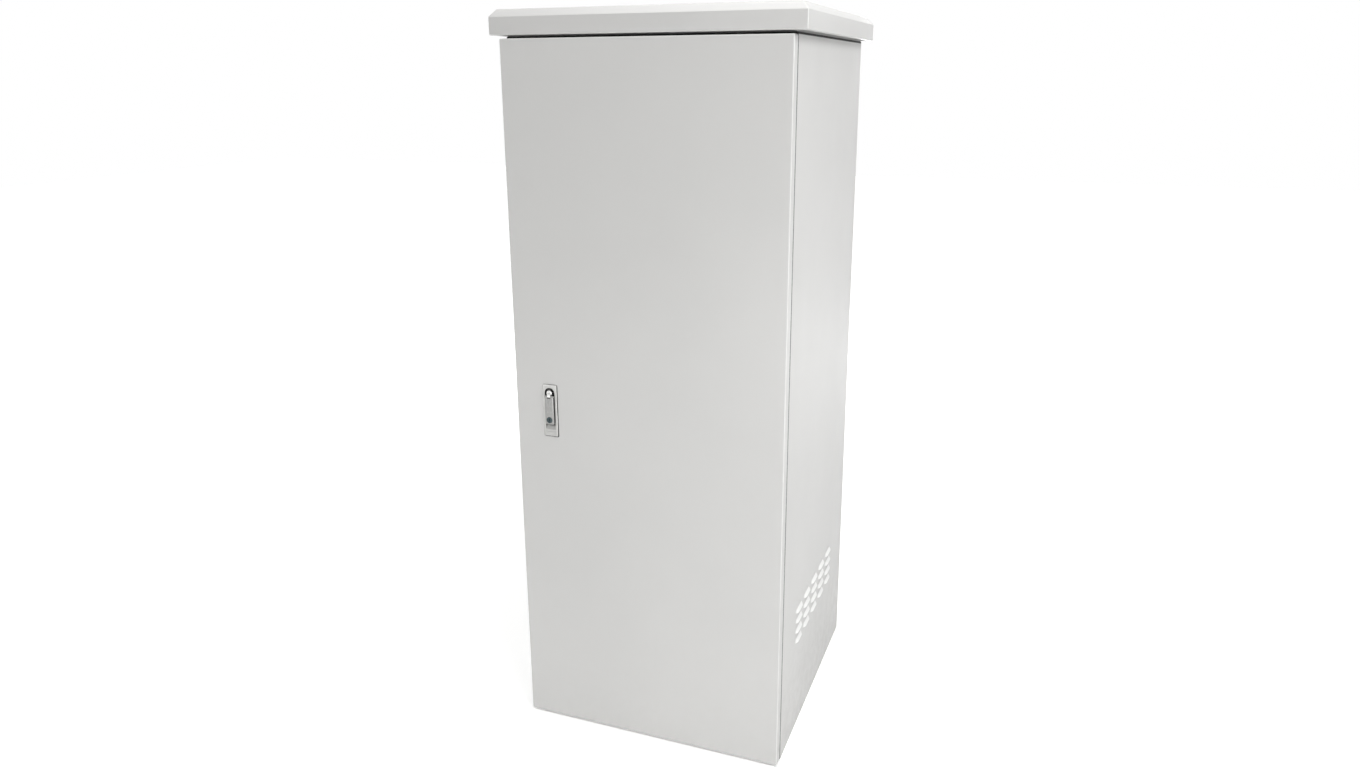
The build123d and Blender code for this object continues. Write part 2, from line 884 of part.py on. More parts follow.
def raised(sketch, y0, y1):
    return extrude(Plane.XZ.offset(-y0) * sketch, -(y1 - y0))


door_outer = soft_box(-half_width, half_width, door_front, door_back, door_low, door_high, bend_radius)
door_hollow = soft_box(
    -half_width + door_sheet,
    half_width - door_sheet,
    door_inner,
    door_back + over,
    door_low + door_sheet,
    door_high - door_sheet,
    bend_radius - door_sheet,
)
lock_hole = raised(
    lock_outline(lock_body_width + 2 * lock_fit_gap, lock_body_height + 2 * lock_fit_gap, lock_corner),
    door_front - over,
    door_inner + over,
)
save(door_outer - door_hollow - lock_hole, "door_panel")

# Seal: a foam ring on the door that meets the rain rim
seal_back = rim_tip - seal_clearance
seal_x = lip_x - body_sheet / 2
seal_low = rim_low + body_sheet / 2
seal_high = rim_high - body_sheet / 2


def seal_block(offset_out, y0, y1):
    return block(
        -seal_x - offset_out,
        seal_x + offset_out,
        y0,
        y1,
        seal_low - offset_out,
        seal_high + offset_out,
    )


seal_ring = seal_block(seal_width / 2, door_inner, seal_back)
seal_inside = seal_block(-seal_width / 2, door_inner - over, seal_back + over)
save(seal_ring - seal_inside, "door_seal")


# Stiffeners: hat channels spot-welded down the door's inside
def door_stiffener(centre_x):
    half = stiffener_sheet / 2
    side_x = stiffener_width / 2 - half
    line = [
        (centre_x - side_x - stiffener_brim, door_inner + half),
        (centre_x - side_x, door_inner + half),
        (centre_x - side_x, door_inner + stiffener_depth - half),
        (centre_x + side_x, door_inner + stiffener_depth - half),
        (centre_x + side_x, door_inner + half),
        (centre_x + side_x + stiffener_brim, door_inner + half),
    ]
    low = door_low + stiffener_end_gap
    high = door_high - stiffener_end_gap
    return bent_upright(line, stiffener_sheet, low, high)


for centre_x, name in zip(stiffener_places, ("left", "right")):
    save(door_stiffener(centre_x), "door_stiffener_" + name)


# Lock dish: a cast plate with a long trough for the lever and a finger scoop below it
plate_front = door_front - lock_plate_proud
dish_back = door_front + lock_body_depth
trough_floor = plate_front + trough_depth
plate_outline = lock_outline(lock_plate_width, lock_plate_height, lock_corner)
dish_plate = raised(plate_outline, plate_front, door_front)
dish_plate = fillet(dish_plate.faces().sort_by(Axis.Y)[0].edges(), lock_plate_soft)
dish_body = raised(lock_outline(lock_body_width, lock_body_height, lock_corner), door_front, dish_back)
scoop_low = lock_centre_z - scoop_bottom
trough_line = [
    (plate_front - over, scoop_low),
    (plate_front, scoop_low),
    (trough_floor, scoop_low + scoop_height),
    (trough_floor, spindle_z),
    (plate_front - over, spindle_z),
]
trough_profile = Plane.YZ * make_face(Polyline(*trough_line, close=True))
trough = Pos(lock_x - trough_width / 2, 0, 0) * extrude(trough_profile, trough_width)
trough_head = rod_y(trough_width / 2, plate_front - over, trough_floor, lock_x, spindle_z)
journal_bore = rod_y(journal_radius + running_gap, plate_front, dish_back + over, lock_x, spindle_z)
groove = block(
    lock_x - groove_width / 2,
    lock_x + groove_width / 2,
    plate_front - over,
    plate_front + groove_depth,
    scoop_low - groove_below - groove_height,
    scoop_low - groove_below,
)
dish_screw_z = lock_centre_z - dish_screw_below
dish_screw_places = [(lock_x + side * dish_screw_spread / 2, dish_screw_z) for side in (-1, 1)]
web_back = dish_back + gearbox_wall
dish_screw_holes = [
    rod_y(gear_screw / 2 + screw_fit, dish_back - dish_screw_depth - over, web_back + over, x, z)
    for x, z in dish_screw_places
]
dish = dish_plate + dish_body - trough - trough_head - journal_bore - groove - dish_screw_holes
save(dish, "lock_dish")


# Lock spindle: a low disc in the trough's round end, with a lug for the lever and a square shank
lever_back = plate_front - lever_lift_gap
lever_front = lever_back - lever_thickness
pin_y = (lever_back + lever_front) / 2
pin_z = spindle_z - pin_below_spindle
bar_front = flange_back + bar_flange_gap
bar_rear = bar_front + bar_thickness
case_floor = bar_front - bar_slide_gap
disc_back = trough_floor - lever_lift_gap
low_front = door_front - boss_low_front
high_front = door_front - boss_high_front
disc = rod_y(boss_radius, low_front, disc_back, lock_x, spindle_z)
crown = rod_y(boss_radius, high_front, low_front, lock_x, spindle_z)
crown = fillet(crown.faces().sort_by(Axis.Y)[0].edges(), boss_soft)
crown_cut = block(
    lock_x - 2 * boss_radius,
    lock_x + 2 * boss_radius,
    high_front - over,
    low_front,
    spindle_z - 2 * boss_radius,
    pin_z + lever_thickness / 2 + crown_gap,
)
lug_half = lug_width / 2
lug = block(lock_x - lug_half, lock_x + lug_half, lever_front, low_front + over, pin_z, spindle_z - over)
lug_round = rod_x(lever_thickness / 2, lock_x - lug_half, lock_x + lug_half, pin_y, pin_z)
pin_hole = lever_pin_radius + running_gap
pin_bore = rod_x(pin_hole, lock_x - lever_width, lock_x + lever_width, pin_y, pin_z)
journal = rod_y(journal_radius, disc_back - over, case_floor, lock_x, spindle_z)
shank_half = shank_size / 2
shank = block(
    lock_x - shank_half,
    lock_x + shank_half,
    case_floor,
    bar_rear - shank_end_gap,
    spindle_z - shank_half,
    spindle_z + shank_half,
)
screw_hole = gear_screw / 2 + running_gap
shank_hole = rod_y(screw_hole, bar_rear - 2 * gear_screw, bar_rear + over, lock_x, spindle_z)
spindle = disc + (crown - crown_cut) + lug + lug_round - pin_bore + journal + shank - shank_hole
save(spindle, "lock_spindle")
lever_pin = rod_x(lever_pin_radius, lock_x - lever_width / 2, lock_x + lever_width / 2, pin_y, pin_z)
save(lever_pin, "lever_pin")


# Lever: a hollow casting forked round the spindle's lug, bored for the key barrel
lever_low = lock_centre_z + lever_bottom_above_centre
key_z = lock_centre_z - key_below_centre
lever_middle_z = (lever_low + pin_z) / 2
lever_sketch = Pos(lock_x, lever_middle_z) * Rectangle(lever_width, pin_z - lever_low)
lever_sketch = fillet(lever_sketch.vertices().group_by(Axis.Y)[0], lever_corner)
lever_body = raised(lever_sketch, lever_front, lever_back)
lever_face = lever_body.faces().sort_by(Axis.Y)[0]
lever_body = fillet(lever_face.edges().filter_by(GeomType.LINE).filter_by(Axis.Z), lever_soft)
knuckle = rod_x(lever_thickness / 2, lock_x - lever_width / 2, lock_x + lever_width / 2, pin_y, pin_z)
lug_slot = block(
    lock_x - lug_width / 2 - lug_gap,
    lock_x + lug_width / 2 + lug_gap,
    lever_front - over,
    lever_back + over,
    pin_z - lever_thickness / 2 - knuckle_relief,
    pin_z + lever_thickness,
)
hollow_half = lever_width / 2 - lever_wall
lever_hollow = block(
    lock_x - hollow_half,
    lock_x + hollow_half,
    lever_front + lever_wall,
    lever_back + over,
    lever_low + 2 * lever_wall,
    pin_z - lever_thickness,
)
barrel_hole = rod_y(barrel_radius, lever_front - over, lever_front + lever_wall + over, lock_x, key_z)
lever = lever_body + knuckle - lug_slot - pin_bore - lever_hollow - barrel_hole
save(lever, "lock_lever")

# Key barrel, plug and cam inside the lever
barrel_front = lever_front - barrel_proud
cam_back = lever_back - cam_back_gap
cam_front = cam_back - cam_thickness
barrel = rod_y(barrel_radius, barrel_front, cam_front - lever_lift_gap, lock_x, key_z)
barrel = fillet(barrel.faces().sort_by(Axis.Y)[0].edges(), barrel_soft)
plug_bore = rod_y(plug_radius + running_gap, barrel_front - over, cam_front, lock_x, key_z)
save(barrel - plug_bore, "key_barrel")
plug = rod_y(plug_radius, barrel_front, cam_front, lock_x, key_z)
keyway = block(
    lock_x - keyway_width / 2,
    lock_x + keyway_width / 2,
    barrel_front - over,
    cam_front - over,
    key_z - keyway_length / 2,
    key_z + keyway_length / 2,
)
save(plug - keyway, "key_plug")
cam_half = cam_width / 2
cam_arm = block(lock_x - cam_half, lock_x + cam_half, cam_front, cam_back, key_z - cam_length, key_z)
save(cam_arm + rod_y(cam_half, cam_front, cam_back, lock_x, key_z), "key_cam")


# Pinion with involute teeth, on the spindle's square shank
pitch_radius = tooth_module * pinion_teeth / 2
base_radius = pitch_radius * cos(radians(pressure_angle))
tooth_pitch = pi * tooth_module
tooth_width = tooth_pitch / 2 - tooth_backlash


def involute(angle):
    return tan(angle) - angle


def tooth_half_angle(radius):
    at_pitch = tooth_width / 2 / pitch_radius + involute(radians(pressure_angle))
    if radius <= base_radius:
        return at_pitch
    return at_pitch - involute(acos(base_radius / radius))


def pinion_outline():
    tip_radius = pitch_radius + addendum
    root_radius = pitch_radius - dedendum
    middle_radius = (base_radius + pitch_radius) / 2
    flank = (root_radius, base_radius, middle_radius, pitch_radius, tip_radius)
    points = []
    for tooth in range(pinion_teeth):
        centre = 2 * pi * tooth / pinion_teeth
        rising = [(radius, centre - tooth_half_angle(radius)) for radius in flank]
        falling = [(radius, centre + tooth_half_angle(radius)) for radius in reversed(flank)]
        for radius, angle in rising + falling:
            points.append((radius * cos(angle), radius * sin(angle)))
    return points


pinion_sketch = make_face(Polyline(*pinion_outline(), close=True)) - Rectangle(shank_size, shank_size)
save(raised(Pos(lock_x, spindle_z) * pinion_sketch, bar_front, bar_rear), "lock_pinion")
pinion_screw = Rot(-90, 0, 0) * hex_screw(gear_screw, gear_screw + washer_sheet)
washer = rod_y(washer_radius, bar_rear, bar_rear + washer_sheet, lock_x, spindle_z)
screw_in_shank = Pos(lock_x, bar_rear + washer_sheet, spindle_z) * pinion_screw
save(screw_in_shank + washer, "pinion_screw")


# Locking bars: flat steel with rack teeth cut in the edge that faces the pinion
bar_low = rim_low + body_sheet + bar_end_gap
bar_high = rim_high - body_sheet - bar_end_gap


def bar_edges(side):
    pitch_x = lock_x + side * pitch_radius
    return pitch_x - side * addendum, pitch_x + side * bar_back


def rack_gap(side, z):
    pitch_x = lock_x + side * pitch_radius
    slope = tan(radians(pressure_angle))
    half_gap = (tooth_pitch - tooth_width) / 2
    mouth_depth = addendum + over
    mouth = half_gap + mouth_depth * slope
    root = half_gap - dedendum * slope
    line = [
        (pitch_x - side * mouth_depth, z - mouth),
        (pitch_x + side * dedendum, z - root),
        (pitch_x + side * dedendum, z + root),
        (pitch_x - side * mouth_depth, z + mouth),
    ]
    return raised(make_face(Polyline(*line, close=True)), bar_front - over, bar_rear + over)


def locking_bar(side, low, high, direction):
    near_x, far_x = bar_edges(side)
    bar = block(min(near_x, far_x), max(near_x, far_x), bar_front, bar_rear, low, high)
    tip = bar.edges().filter_by(Axis.Y).group_by(Axis.Z)[-1 if direction > 0 else 0]
    bar = chamfer(tip, bar_tip_chamfer)
    steps = [direction * step for step in range(-rack_gaps_before, rack_gaps_after + 1)]
    return bar - [rack_gap(side, spindle_z + step * tooth_pitch) for step in steps]


bar_tail = (rack_gaps_before + 1) * tooth_pitch
save(locking_bar(-1, spindle_z - bar_tail, bar_high, 1), "locking_bar_upper")
save(locking_bar(1, bar_low, spindle_z + bar_tail, -1), "locking_bar_lower")


# Bar guides: moulded blocks on feet fixed inside the door
def bar_guide(side, height):
    near_x, far_x = bar_edges(side)
    centre_x = (near_x + far_x) / 2
    slot_half = abs(far_x - near_x) / 2 + bar_slide_gap
    head_half = slot_half + guide_wall
    low = height - guide_height / 2
    high = height + guide_height / 2
    slot_front = bar_front - bar_slide_gap
    slot_rear = bar_rear + bar_slide_gap
    foot = block(
        centre_x - guide_foot / 2,
        centre_x + guide_foot / 2,
        door_inner,
        door_inner + guide_foot_sheet,
        low,
        high,
    )
    stem_half = guide_stem / 2
    stem = block(centre_x - stem_half, centre_x + stem_half, door_inner, slot_front, low, high)
    near = slot_front - guide_wall
    far = slot_rear + guide_wall
    head = block(centre_x - head_half, centre_x + head_half, near, far, low, high)
    head = fillet(head.edges().filter_by(Axis.Z), guide_soft)
    slot = block(centre_x - slot_half, centre_x + slot_half, slot_front, slot_rear, low - over, high + over)
    return foot + stem + head - slot


guides = [bar_guide(1, height) for height in lower_guides]
guides += [bar_guide(-1, height) for height in upper_guides]
save(grouped(guides), "bar_guides")


# Gearbox: a casting that clamps the dish from inside and carries the pinion and bars
case_half = pitch_radius + bar_back + bar_slide_gap + gear_case_wall
cavity_half = pitch_radius + bar_back + bar_slide_gap
case_low = spindle_z - gear_case_height / 2
case_high = spindle_z + gear_case_height / 2
cover_front = bar_rear + bar_slide_gap
flange_plate = raised(lock_outline(gearbox_width, gearbox_height, lock_corner), door_inner, web_back)
dish_pocket = raised(
    lock_outline(lock_body_width + 2 * lock_fit_gap, lock_body_height + 2 * lock_fit_gap, lock_corner),
    door_inner - over,
    dish_back,
)
case_neck = rod_y(journal_radius + case_neck_wall, web_back - over, case_floor - over, lock_x, spindle_z)
case_block = block(
    lock_x - case_half,
    lock_x + case_half,
    case_floor - gear_case_floor,
    cover_front,
    case_low,
    case_high,
)
case_block = fillet(case_block.edges().filter_by(Axis.Y), case_soft)
case_cavity = block(
    lock_x - cavity_half,
    lock_x + cavity_half,
    case_floor,
    cover_front + over,
    case_low - over,
    case_high + over,
)
case_bore = rod_y(journal_radius + running_gap, dish_back - over, case_floor + over, lock_x, spindle_z)
case_screw_x = (case_half + cavity_half) / 2
case_screw_z = gear_case_height / 2 - case_screw_edge
case_screw_places = [
    (lock_x + sx * case_screw_x, spindle_z + sz * case_screw_z)
    for sx in (-1, 1)
    for sz in (-1, 1)
]
case_screw_holes = [
    rod_y(screw_hole, case_floor - gear_case_floor - over, cover_front + over, x, z)
    for x, z in case_screw_places
]
gearbox = flange_plate - dish_pocket + case_neck + case_block - case_cavity - case_bore
save(gearbox - case_screw_holes - dish_screw_holes, "lock_gearbox")
cover_rear = cover_front + cover_thickness
cover = block(lock_x - case_half, lock_x + case_half, cover_front, cover_rear, case_low, case_high)
cover = fillet(cover.edges().filter_by(Axis.Y), case_soft)
cover_window = rod_y(cover_hole_radius, cover_front - over, cover_rear + over, lock_x, spindle_z)
cover_holes = [
    rod_y(gear_screw / 2 + hole_gap, cover_front - over, cover_rear + over, x, z)
    for x, z in case_screw_places
]
save(cover - cover_window - cover_holes, "gearbox_cover")

cover_screw_length = cover_thickness + cover_front - case_floor + gear_case_floor
cover_screw = Rot(-90, 0, 0) * hex_screw(gear_screw, cover_screw_length)
dish_screw = Rot(-90, 0, 0) * hex_screw(gear_screw, gearbox_wall + dish_screw_depth)
lock_screws = [Pos(x, cover_rear, z) * cover_screw for x, z in case_screw_places]
lock_screws += [Pos(x, web_back, z) * dish_screw for x, z in dish_screw_places]
save(grouped(lock_screws), "lock_screws")
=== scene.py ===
import bmesh
import bpy
import json
import math
from mathutils import Euler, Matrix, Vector, noise


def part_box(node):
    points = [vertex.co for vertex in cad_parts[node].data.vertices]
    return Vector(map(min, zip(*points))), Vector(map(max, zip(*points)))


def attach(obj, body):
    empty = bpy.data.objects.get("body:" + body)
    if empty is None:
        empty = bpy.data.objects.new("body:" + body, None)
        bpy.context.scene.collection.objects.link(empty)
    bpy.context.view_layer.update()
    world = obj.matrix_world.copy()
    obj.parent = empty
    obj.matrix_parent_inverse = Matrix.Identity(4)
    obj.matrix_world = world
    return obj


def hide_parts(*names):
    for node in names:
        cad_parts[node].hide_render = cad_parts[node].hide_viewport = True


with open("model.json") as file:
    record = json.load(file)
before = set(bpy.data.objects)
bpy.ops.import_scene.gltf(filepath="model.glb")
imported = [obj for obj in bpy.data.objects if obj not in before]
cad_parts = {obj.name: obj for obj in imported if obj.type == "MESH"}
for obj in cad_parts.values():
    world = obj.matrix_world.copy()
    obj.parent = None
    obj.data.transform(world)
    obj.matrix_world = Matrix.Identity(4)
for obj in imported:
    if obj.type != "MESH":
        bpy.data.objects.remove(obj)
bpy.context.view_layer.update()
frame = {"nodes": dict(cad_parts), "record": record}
nodes = frame["nodes"]
print("frame loaded:", len(nodes), "nodes")


# Small helpers for shader trees: a socket given as a value is linked, anything else is set
def feed(tree, target, value):
    if isinstance(value, bpy.types.NodeSocket):
        tree.links.new(value, target)
    else:
        target.default_value = value


def addNode(tree, kind, place, values=None, **settings):
    made = tree.nodes.new(kind)
    made.location = place
    for name, value in settings.items():
        setattr(made, name, value)
    for name, value in (values or {}).items():
        feed(tree, made.inputs[name], value)
    return made


def newGroup(name, inputs, outputs):
    group = bpy.data.node_groups.new(name, "ShaderNodeTree")
    for label, value in inputs.items():
        kind = "NodeSocketVector" if isinstance(value, tuple) else "NodeSocketFloat"
        made = group.interface.new_socket(label, in_out="INPUT", socket_type=kind)
        made.default_value = value
    for label in outputs:
        group.interface.new_socket(label, in_out="OUTPUT", socket_type="NodeSocketFloat")
    start = addNode(group, "NodeGroupInput", (-900, 0))
    return group, start.outputs


def closeGroup(group, results):
    addNode(group, "NodeGroupOutput", (700, 0), results)
    return group


def useGroup(tree, group, place, values):
    return addNode(tree, "ShaderNodeGroup", place, values, node_tree=group).outputs


def objectSpot(tree, place):
    return addNode(tree, "ShaderNodeTexCoord", place).outputs["Object"]


def splitAxes(tree, place, source):
    return addNode(tree, "ShaderNodeSeparateXYZ", place, {0: source}).outputs


def facingUp(tree, place):
    shape = addNode(tree, "ShaderNodeNewGeometry", place)
    return splitAxes(tree, (place[0] + 200, place[1]), shape.outputs["Normal"])["Z"]


def addNoise(tree, place, spot, scale, detail=2.0, roughness=0.5, distortion=0.0, result="Fac"):
    values = {"Vector": spot, "Scale": scale, "Detail": detail, "Roughness": roughness}
    values["Distortion"] = distortion
    return addNode(tree, "ShaderNodeTexNoise", place, values).outputs[result]


def mapRange(tree, place, source, low, high, outLow=0.0, outHigh=1.0, smooth=False):
    kind = "SMOOTHSTEP" if smooth else "LINEAR"
    values = {"Value": source, "From Min": low, "From Max": high}
    values.update({"To Min": outLow, "To Max": outHigh})
    return addNode(tree, "ShaderNodeMapRange", place, values, interpolation_type=kind).outputs[0]


def mathNode(tree, place, operation, *values):
    inputs = dict(enumerate(values))
    return addNode(tree, "ShaderNodeMath", place, inputs, operation=operation).outputs[0]


# The mix node's colour inputs are its sockets 6 and 7, and its colour output is 2
def colourMix(tree, place, share, first, second):
    values = {0: share}
    for number, colour in ((6, first), (7, second)):
        values[number] = colour if isinstance(colour, bpy.types.NodeSocket) else (*colour, 1)
    return addNode(tree, "ShaderNodeMix", place, values, data_type="RGBA").outputs[2]


# Fine orange-peel texture of a sprayed and baked coat, with a slow drift in tone. A noise is
# given as its scale, detail and roughness. In the patterns further down, a noise that takes its
# scale from an input has only the last two, and a roughness left out is 0.5.
coatPattern = {
    "peel": (420.0, 2.0, 0.45),
    "sand": (1500.0, 1.0, 0.5),
    "slow": (2.2, 3.0, 0.5),
    "patch": (14.0, 4.0, 0.55),
    "sandShare": 0.35,
    "driftBand": (0.3, 0.7),
}


def makeCoatTexture():
    inputs = {"Grain": 1.0, "Drift": 1.0}
    group, given = newGroup("coatTexture", inputs, ("Height", "Tone", "Sheen"))
    spot = objectSpot(group, (-900, 300))
    peel = addNoise(group, (-600, 300), spot, *coatPattern["peel"])
    sand = addNoise(group, (-600, 50), spot, *coatPattern["sand"])
    slow = addNoise(group, (-600, -200), spot, *coatPattern["slow"])
    patch = addNoise(group, (-600, -450), spot, *coatPattern["patch"])
    fine = mathNode(group, (-350, 100), "MULTIPLY", sand, coatPattern["sandShare"])
    both = mathNode(group, (-150, 200), "ADD", peel, fine)
    height = mathNode(group, (100, 200), "MULTIPLY", both, given["Grain"])
    drift = mapRange(group, (-350, -200), slow, *coatPattern["driftBand"], -0.5, 0.5)
    scaled = mathNode(group, (-100, -200), "MULTIPLY", drift, given["Drift"])
    tone = mathNode(group, (150, -200), "ADD", scaled, 0.5)
    return closeGroup(group, {"Height": height, "Tone": tone, "Sheen": patch})


# Where a metal is worn bright on its sharp edges
wearPattern = {
    "edgeBand": (0.505, 0.58),
    "breakNoise": (3.0, 0.6),
    "breakBand": (0.35, 0.65),
    "leastShare": 0.4,
}


def makeEdgeWear():
    group, given = newGroup("edgeWear", {"Breakup": 60.0}, ("Mask",))
    spot = objectSpot(group, (-900, -250))
    shape = addNode(group, "ShaderNodeNewGeometry", (-700, 200))
    texture = (given["Breakup"], *wearPattern["breakNoise"])
    broken = addNoise(group, (-650, -200), spot, *texture)
    pointed = shape.outputs["Pointiness"]
    outer = mapRange(group, (-400, 250), pointed, *wearPattern["edgeBand"])
    least = wearPattern["leastShare"]
    patchy = mapRange(group, (-400, -250), broken, *wearPattern["breakBand"], least, 1.0)
    mask = mathNode(group, (200, 100), "MULTIPLY", outer, patchy)
    return closeGroup(group, {"Mask": mask})


# The upright folds of a boxy sheet form, where its face turns away from the object's own axes. The
# powder coat paints a highlight on them.
foldPattern = {
    "turnBand": (0.98, 0.80),
    "riseBand": (0.42, 0.60),
    "breakNoise": (3.0, 0.6),
    "breakBand": (0.35, 0.65),
    "leastShare": 0.75,
}


def makeFoldHighlight():
    group, given = newGroup("foldHighlight", {"Breakup": 60.0}, ("Mask",))
    coords = addNode(group, "ShaderNodeTexCoord", (-900, 200)).outputs
    normal = {0: coords["Normal"]}
    plain = addNode(group, "ShaderNodeVectorMath", (-700, 250), normal, operation="ABSOLUTE")
    axes = splitAxes(group, (-500, 250), plain.outputs[0])
    level = mathNode(group, (-300, 300), "MAXIMUM", axes["X"], axes["Y"])
    square = mathNode(group, (-100, 250), "MAXIMUM", level, axes["Z"])
    turned = mapRange(group, (100, 200), square, *foldPattern["turnBand"], smooth=True)
    rise = foldPattern["riseBand"]
    upright = mapRange(group, (-100, 450), axes["Z"], *rise, 1.0, 0.0, smooth=True)
    texture = (given["Breakup"], *foldPattern["breakNoise"])
    broken = addNoise(group, (-500, -150), coords["Object"], *texture)
    least = foldPattern["leastShare"]
    patchy = mapRange(group, (-100, -100), broken, *foldPattern["breakBand"], least, 1.0)
    sideways = mathNode(group, (200, 400), "MULTIPLY", turned, upright)
    mask = mathNode(group, (350, 100), "MULTIPLY", sideways, patchy)
    return closeGroup(group, {"Mask": mask})


# Dust: more of it low down and on upward faces, in broken patches
dustPattern = {"flatBand": (0.75, 1.0), "speck": (38.0, 6.0, 0.65), "speckBand": (0.4, 0.72)}


def makeDust():
    group, given = newGroup("dust", {"Reach": 0.25, "Flat": 0.3}, ("Mask",))
    spot = objectSpot(group, (-900, 300))
    height = splitAxes(group, (-700, 300), spot)["Z"]
    share = mathNode(group, (-500, 350), "DIVIDE", height, given["Reach"])
    low = mapRange(group, (-300, 350), share, 0.0, 1.0, 1.0, 0.0, smooth=True)
    up = mapRange(group, (-500, -250), facingUp(group, (-900, -250)), *dustPattern["flatBand"])
    flat = mathNode(group, (-300, -150), "MULTIPLY", up, given["Flat"])
    speck = addNoise(group, (-500, 0), spot, *dustPattern["speck"])
    broken = mapRange(group, (-300, 50), speck, *dustPattern["speckBand"])
    total = mathNode(group, (0, 200), "ADD", low, flat)
    mask = mathNode(group, (250, 100), "MULTIPLY", total, broken)
    return closeGroup(group, {"Mask": mask})


# Crystals of a hot-dip zinc skin
spanglePattern = {"wander": 60.0, "wanderShare": 0.012, "haze": (9.0, 4.0)}


def makeSpangle():
    outputs = ("Tone", "Dullness", "Height")
    group, given = newGroup("zincSpangle", {"Scale": 90.0}, outputs)
    spot = objectSpot(group, (-900, 200))
    wander = addNoise(group, (-700, 350), spot, spanglePattern["wander"], result="Color")
    values = {0: spanglePattern["wanderShare"], 4: spot, 5: wander}
    bent = addNode(group, "ShaderNodeMix", (-450, 250), values, data_type="VECTOR").outputs[1]
    values = {"Vector": bent, "Scale": given["Scale"]}
    cells = addNode(group, "ShaderNodeTexVoronoi", (-200, 200), values, feature="F1").outputs
    haze = addNoise(group, (-200, -150), spot, *spanglePattern["haze"])
    greys = addNode(group, "ShaderNodeSeparateColor", (50, 250), {0: cells["Color"]}).outputs
    dull = mathNode(group, (300, 0), "ADD", greys[1], haze)
    half = mathNode(group, (480, 0), "MULTIPLY", dull, 0.5)
    return closeGroup(group, {"Tone": greys[0], "Dullness": half, "Height": cells["Distance"]})


# Fine lines of brushed, drawn or ground metal, and the pits of a casting
grainPattern = {"lines": (1.0, 3.0, 0.6), "pits": (3.0, 0.7), "smudge": (55.0, 4.0, 0.6)}


def makeMetalGrain():
    inputs = {"Across": (900.0, 900.0, 30.0), "Pits": 700.0}
    group, given = newGroup("metalGrain", inputs, ("Lines", "Pitting", "Smudge"))
    spot = objectSpot(group, (-900, 250))
    values = {0: spot, 1: given["Across"]}
    drawn = addNode(group, "ShaderNodeVectorMath", (-650, 300), values, operation="MULTIPLY")
    lines = addNoise(group, (-350, 300), drawn.outputs[0], *grainPattern["lines"])
    pits = addNoise(group, (-350, 0), spot, given["Pits"], *grainPattern["pits"])
    smudge = addNoise(group, (-350, -300), spot, *grainPattern["smudge"])
    return closeGroup(group, {"Lines": lines, "Pitting": pits, "Smudge": smudge})


# Painted shade beyond a plane across the object's Y axis, in a gap or a recess, and not on
# upward faces, which stay lit
recessPattern = {
    "speck": (180.0, 3.0),
    "speckBand": (0.3, 0.7),
    "leastShare": 0.82,
    "upwardLitBand": (0.15, 0.42),
}


def makeRecessShading():
    group, given = newGroup("recessShading", {"From": 0.0, "To": 0.001}, ("Mask",))
    spot = objectSpot(group, (-900, 200))
    inward = splitAxes(group, (-700, 200), spot)["Y"]
    speck = addNoise(group, (-700, -50), spot, *recessPattern["speck"])
    depth = mapRange(group, (-400, 200), inward, given["From"], given["To"], smooth=True)
    least = recessPattern["leastShare"]
    uneven = mapRange(group, (-400, -50), speck, *recessPattern["speckBand"], least, 1.0)
    dirtAndShade = mathNode(group, (-100, 100), "MULTIPLY", depth, uneven)
    up = facingUp(group, (-900, -300))
    band = recessPattern["upwardLitBand"]
    notFacingUp = mapRange(group, (-400, -300), up, *band, 1.0, 0.0, smooth=True)
    mask = mathNode(group, (150, 0), "MULTIPLY", dirtAndShade, notFacingUp)
    return closeGroup(group, {"Mask": mask})


# Pressed forms that stand proud of a side wall, where the coat takes a painted highlight
def makeProudFormHighlight():
    group, given = newGroup("proudFormHighlight", {"From": 0.325, "To": 0.327}, ("Mask",))
    sideways = splitAxes(group, (-700, 200), objectSpot(group, (-900, 200)))["X"]
    outward = mathNode(group, (-500, 200), "ABSOLUTE", sideways)
    mask = mapRange(group, (-250, 200), outward, given["From"], given["To"], smooth=True)
    return closeGroup(group, {"Mask": mask})


coatTexture = makeCoatTexture()
edgeWear = makeEdgeWear()
foldHighlight = makeFoldHighlight()
dust = makeDust()
zincSpangle = makeSpangle()
metalGrain = makeMetalGrain()
recessShading = makeRecessShading()
proudFormHighlight = makeProudFormHighlight()
print("shader groups ready")


def newMaterial(name, settings):
    material = bpy.data.materials.new(name)
    material.use_nodes = True
    tree = material.node_tree
    shader = tree.nodes["Principled BSDF"]
    shader.location = (600, 0)
    tree.nodes["Material Output"].location = (900, 0)
    for label, value in settings.items():
        feed(tree, shader.inputs[label], value)
    return material, tree, shader.inputs


def addBump(tree, sockets, height, strength, distance):
    values = {"Height": height, "Strength": strength, "Distance": distance}
    bump = addNode(tree, "ShaderNodeBump", (350, -350), values)
    feed(tree, sockets["Normal"], bump.outputs[0])


# Most of a noise lies between these two values
noiseBand = (0.3, 0.7)

# Light grey powder coat on the body, door and roof
powderCoat = {
    "colour": (0.614, 0.611, 0.600),
    "shade": (0.582, 0.580, 0.570),
    # Painted highlight along the upright folds
    "fold": (0.80, 0.80, 0.79),
    "dust": (0.52, 0.51, 0.49),
    # Painted shade in the seam at the door
    "paintedShade": (0.10, 0.10, 0.095),
    # Painted highlight on the louvres' hoods
    "hoodHighlight": (0.92, 0.92, 0.91),
    "refraction": 1.5,
    "specular": 0.50,
    "foldHighlightShare": 0.75,
    "foldBreakup": 60.0,
    "dustShare": 0.08,
    "dustReach": 0.35,
    "dustFlat": 0.5,
    "dustRough": 0.3,
    "rough": (0.345, 0.375),
    "grain": 1.0,
    "drift": 1.0,
    "bump": 0.10,
    "bumpDepth": 0.0004,
}


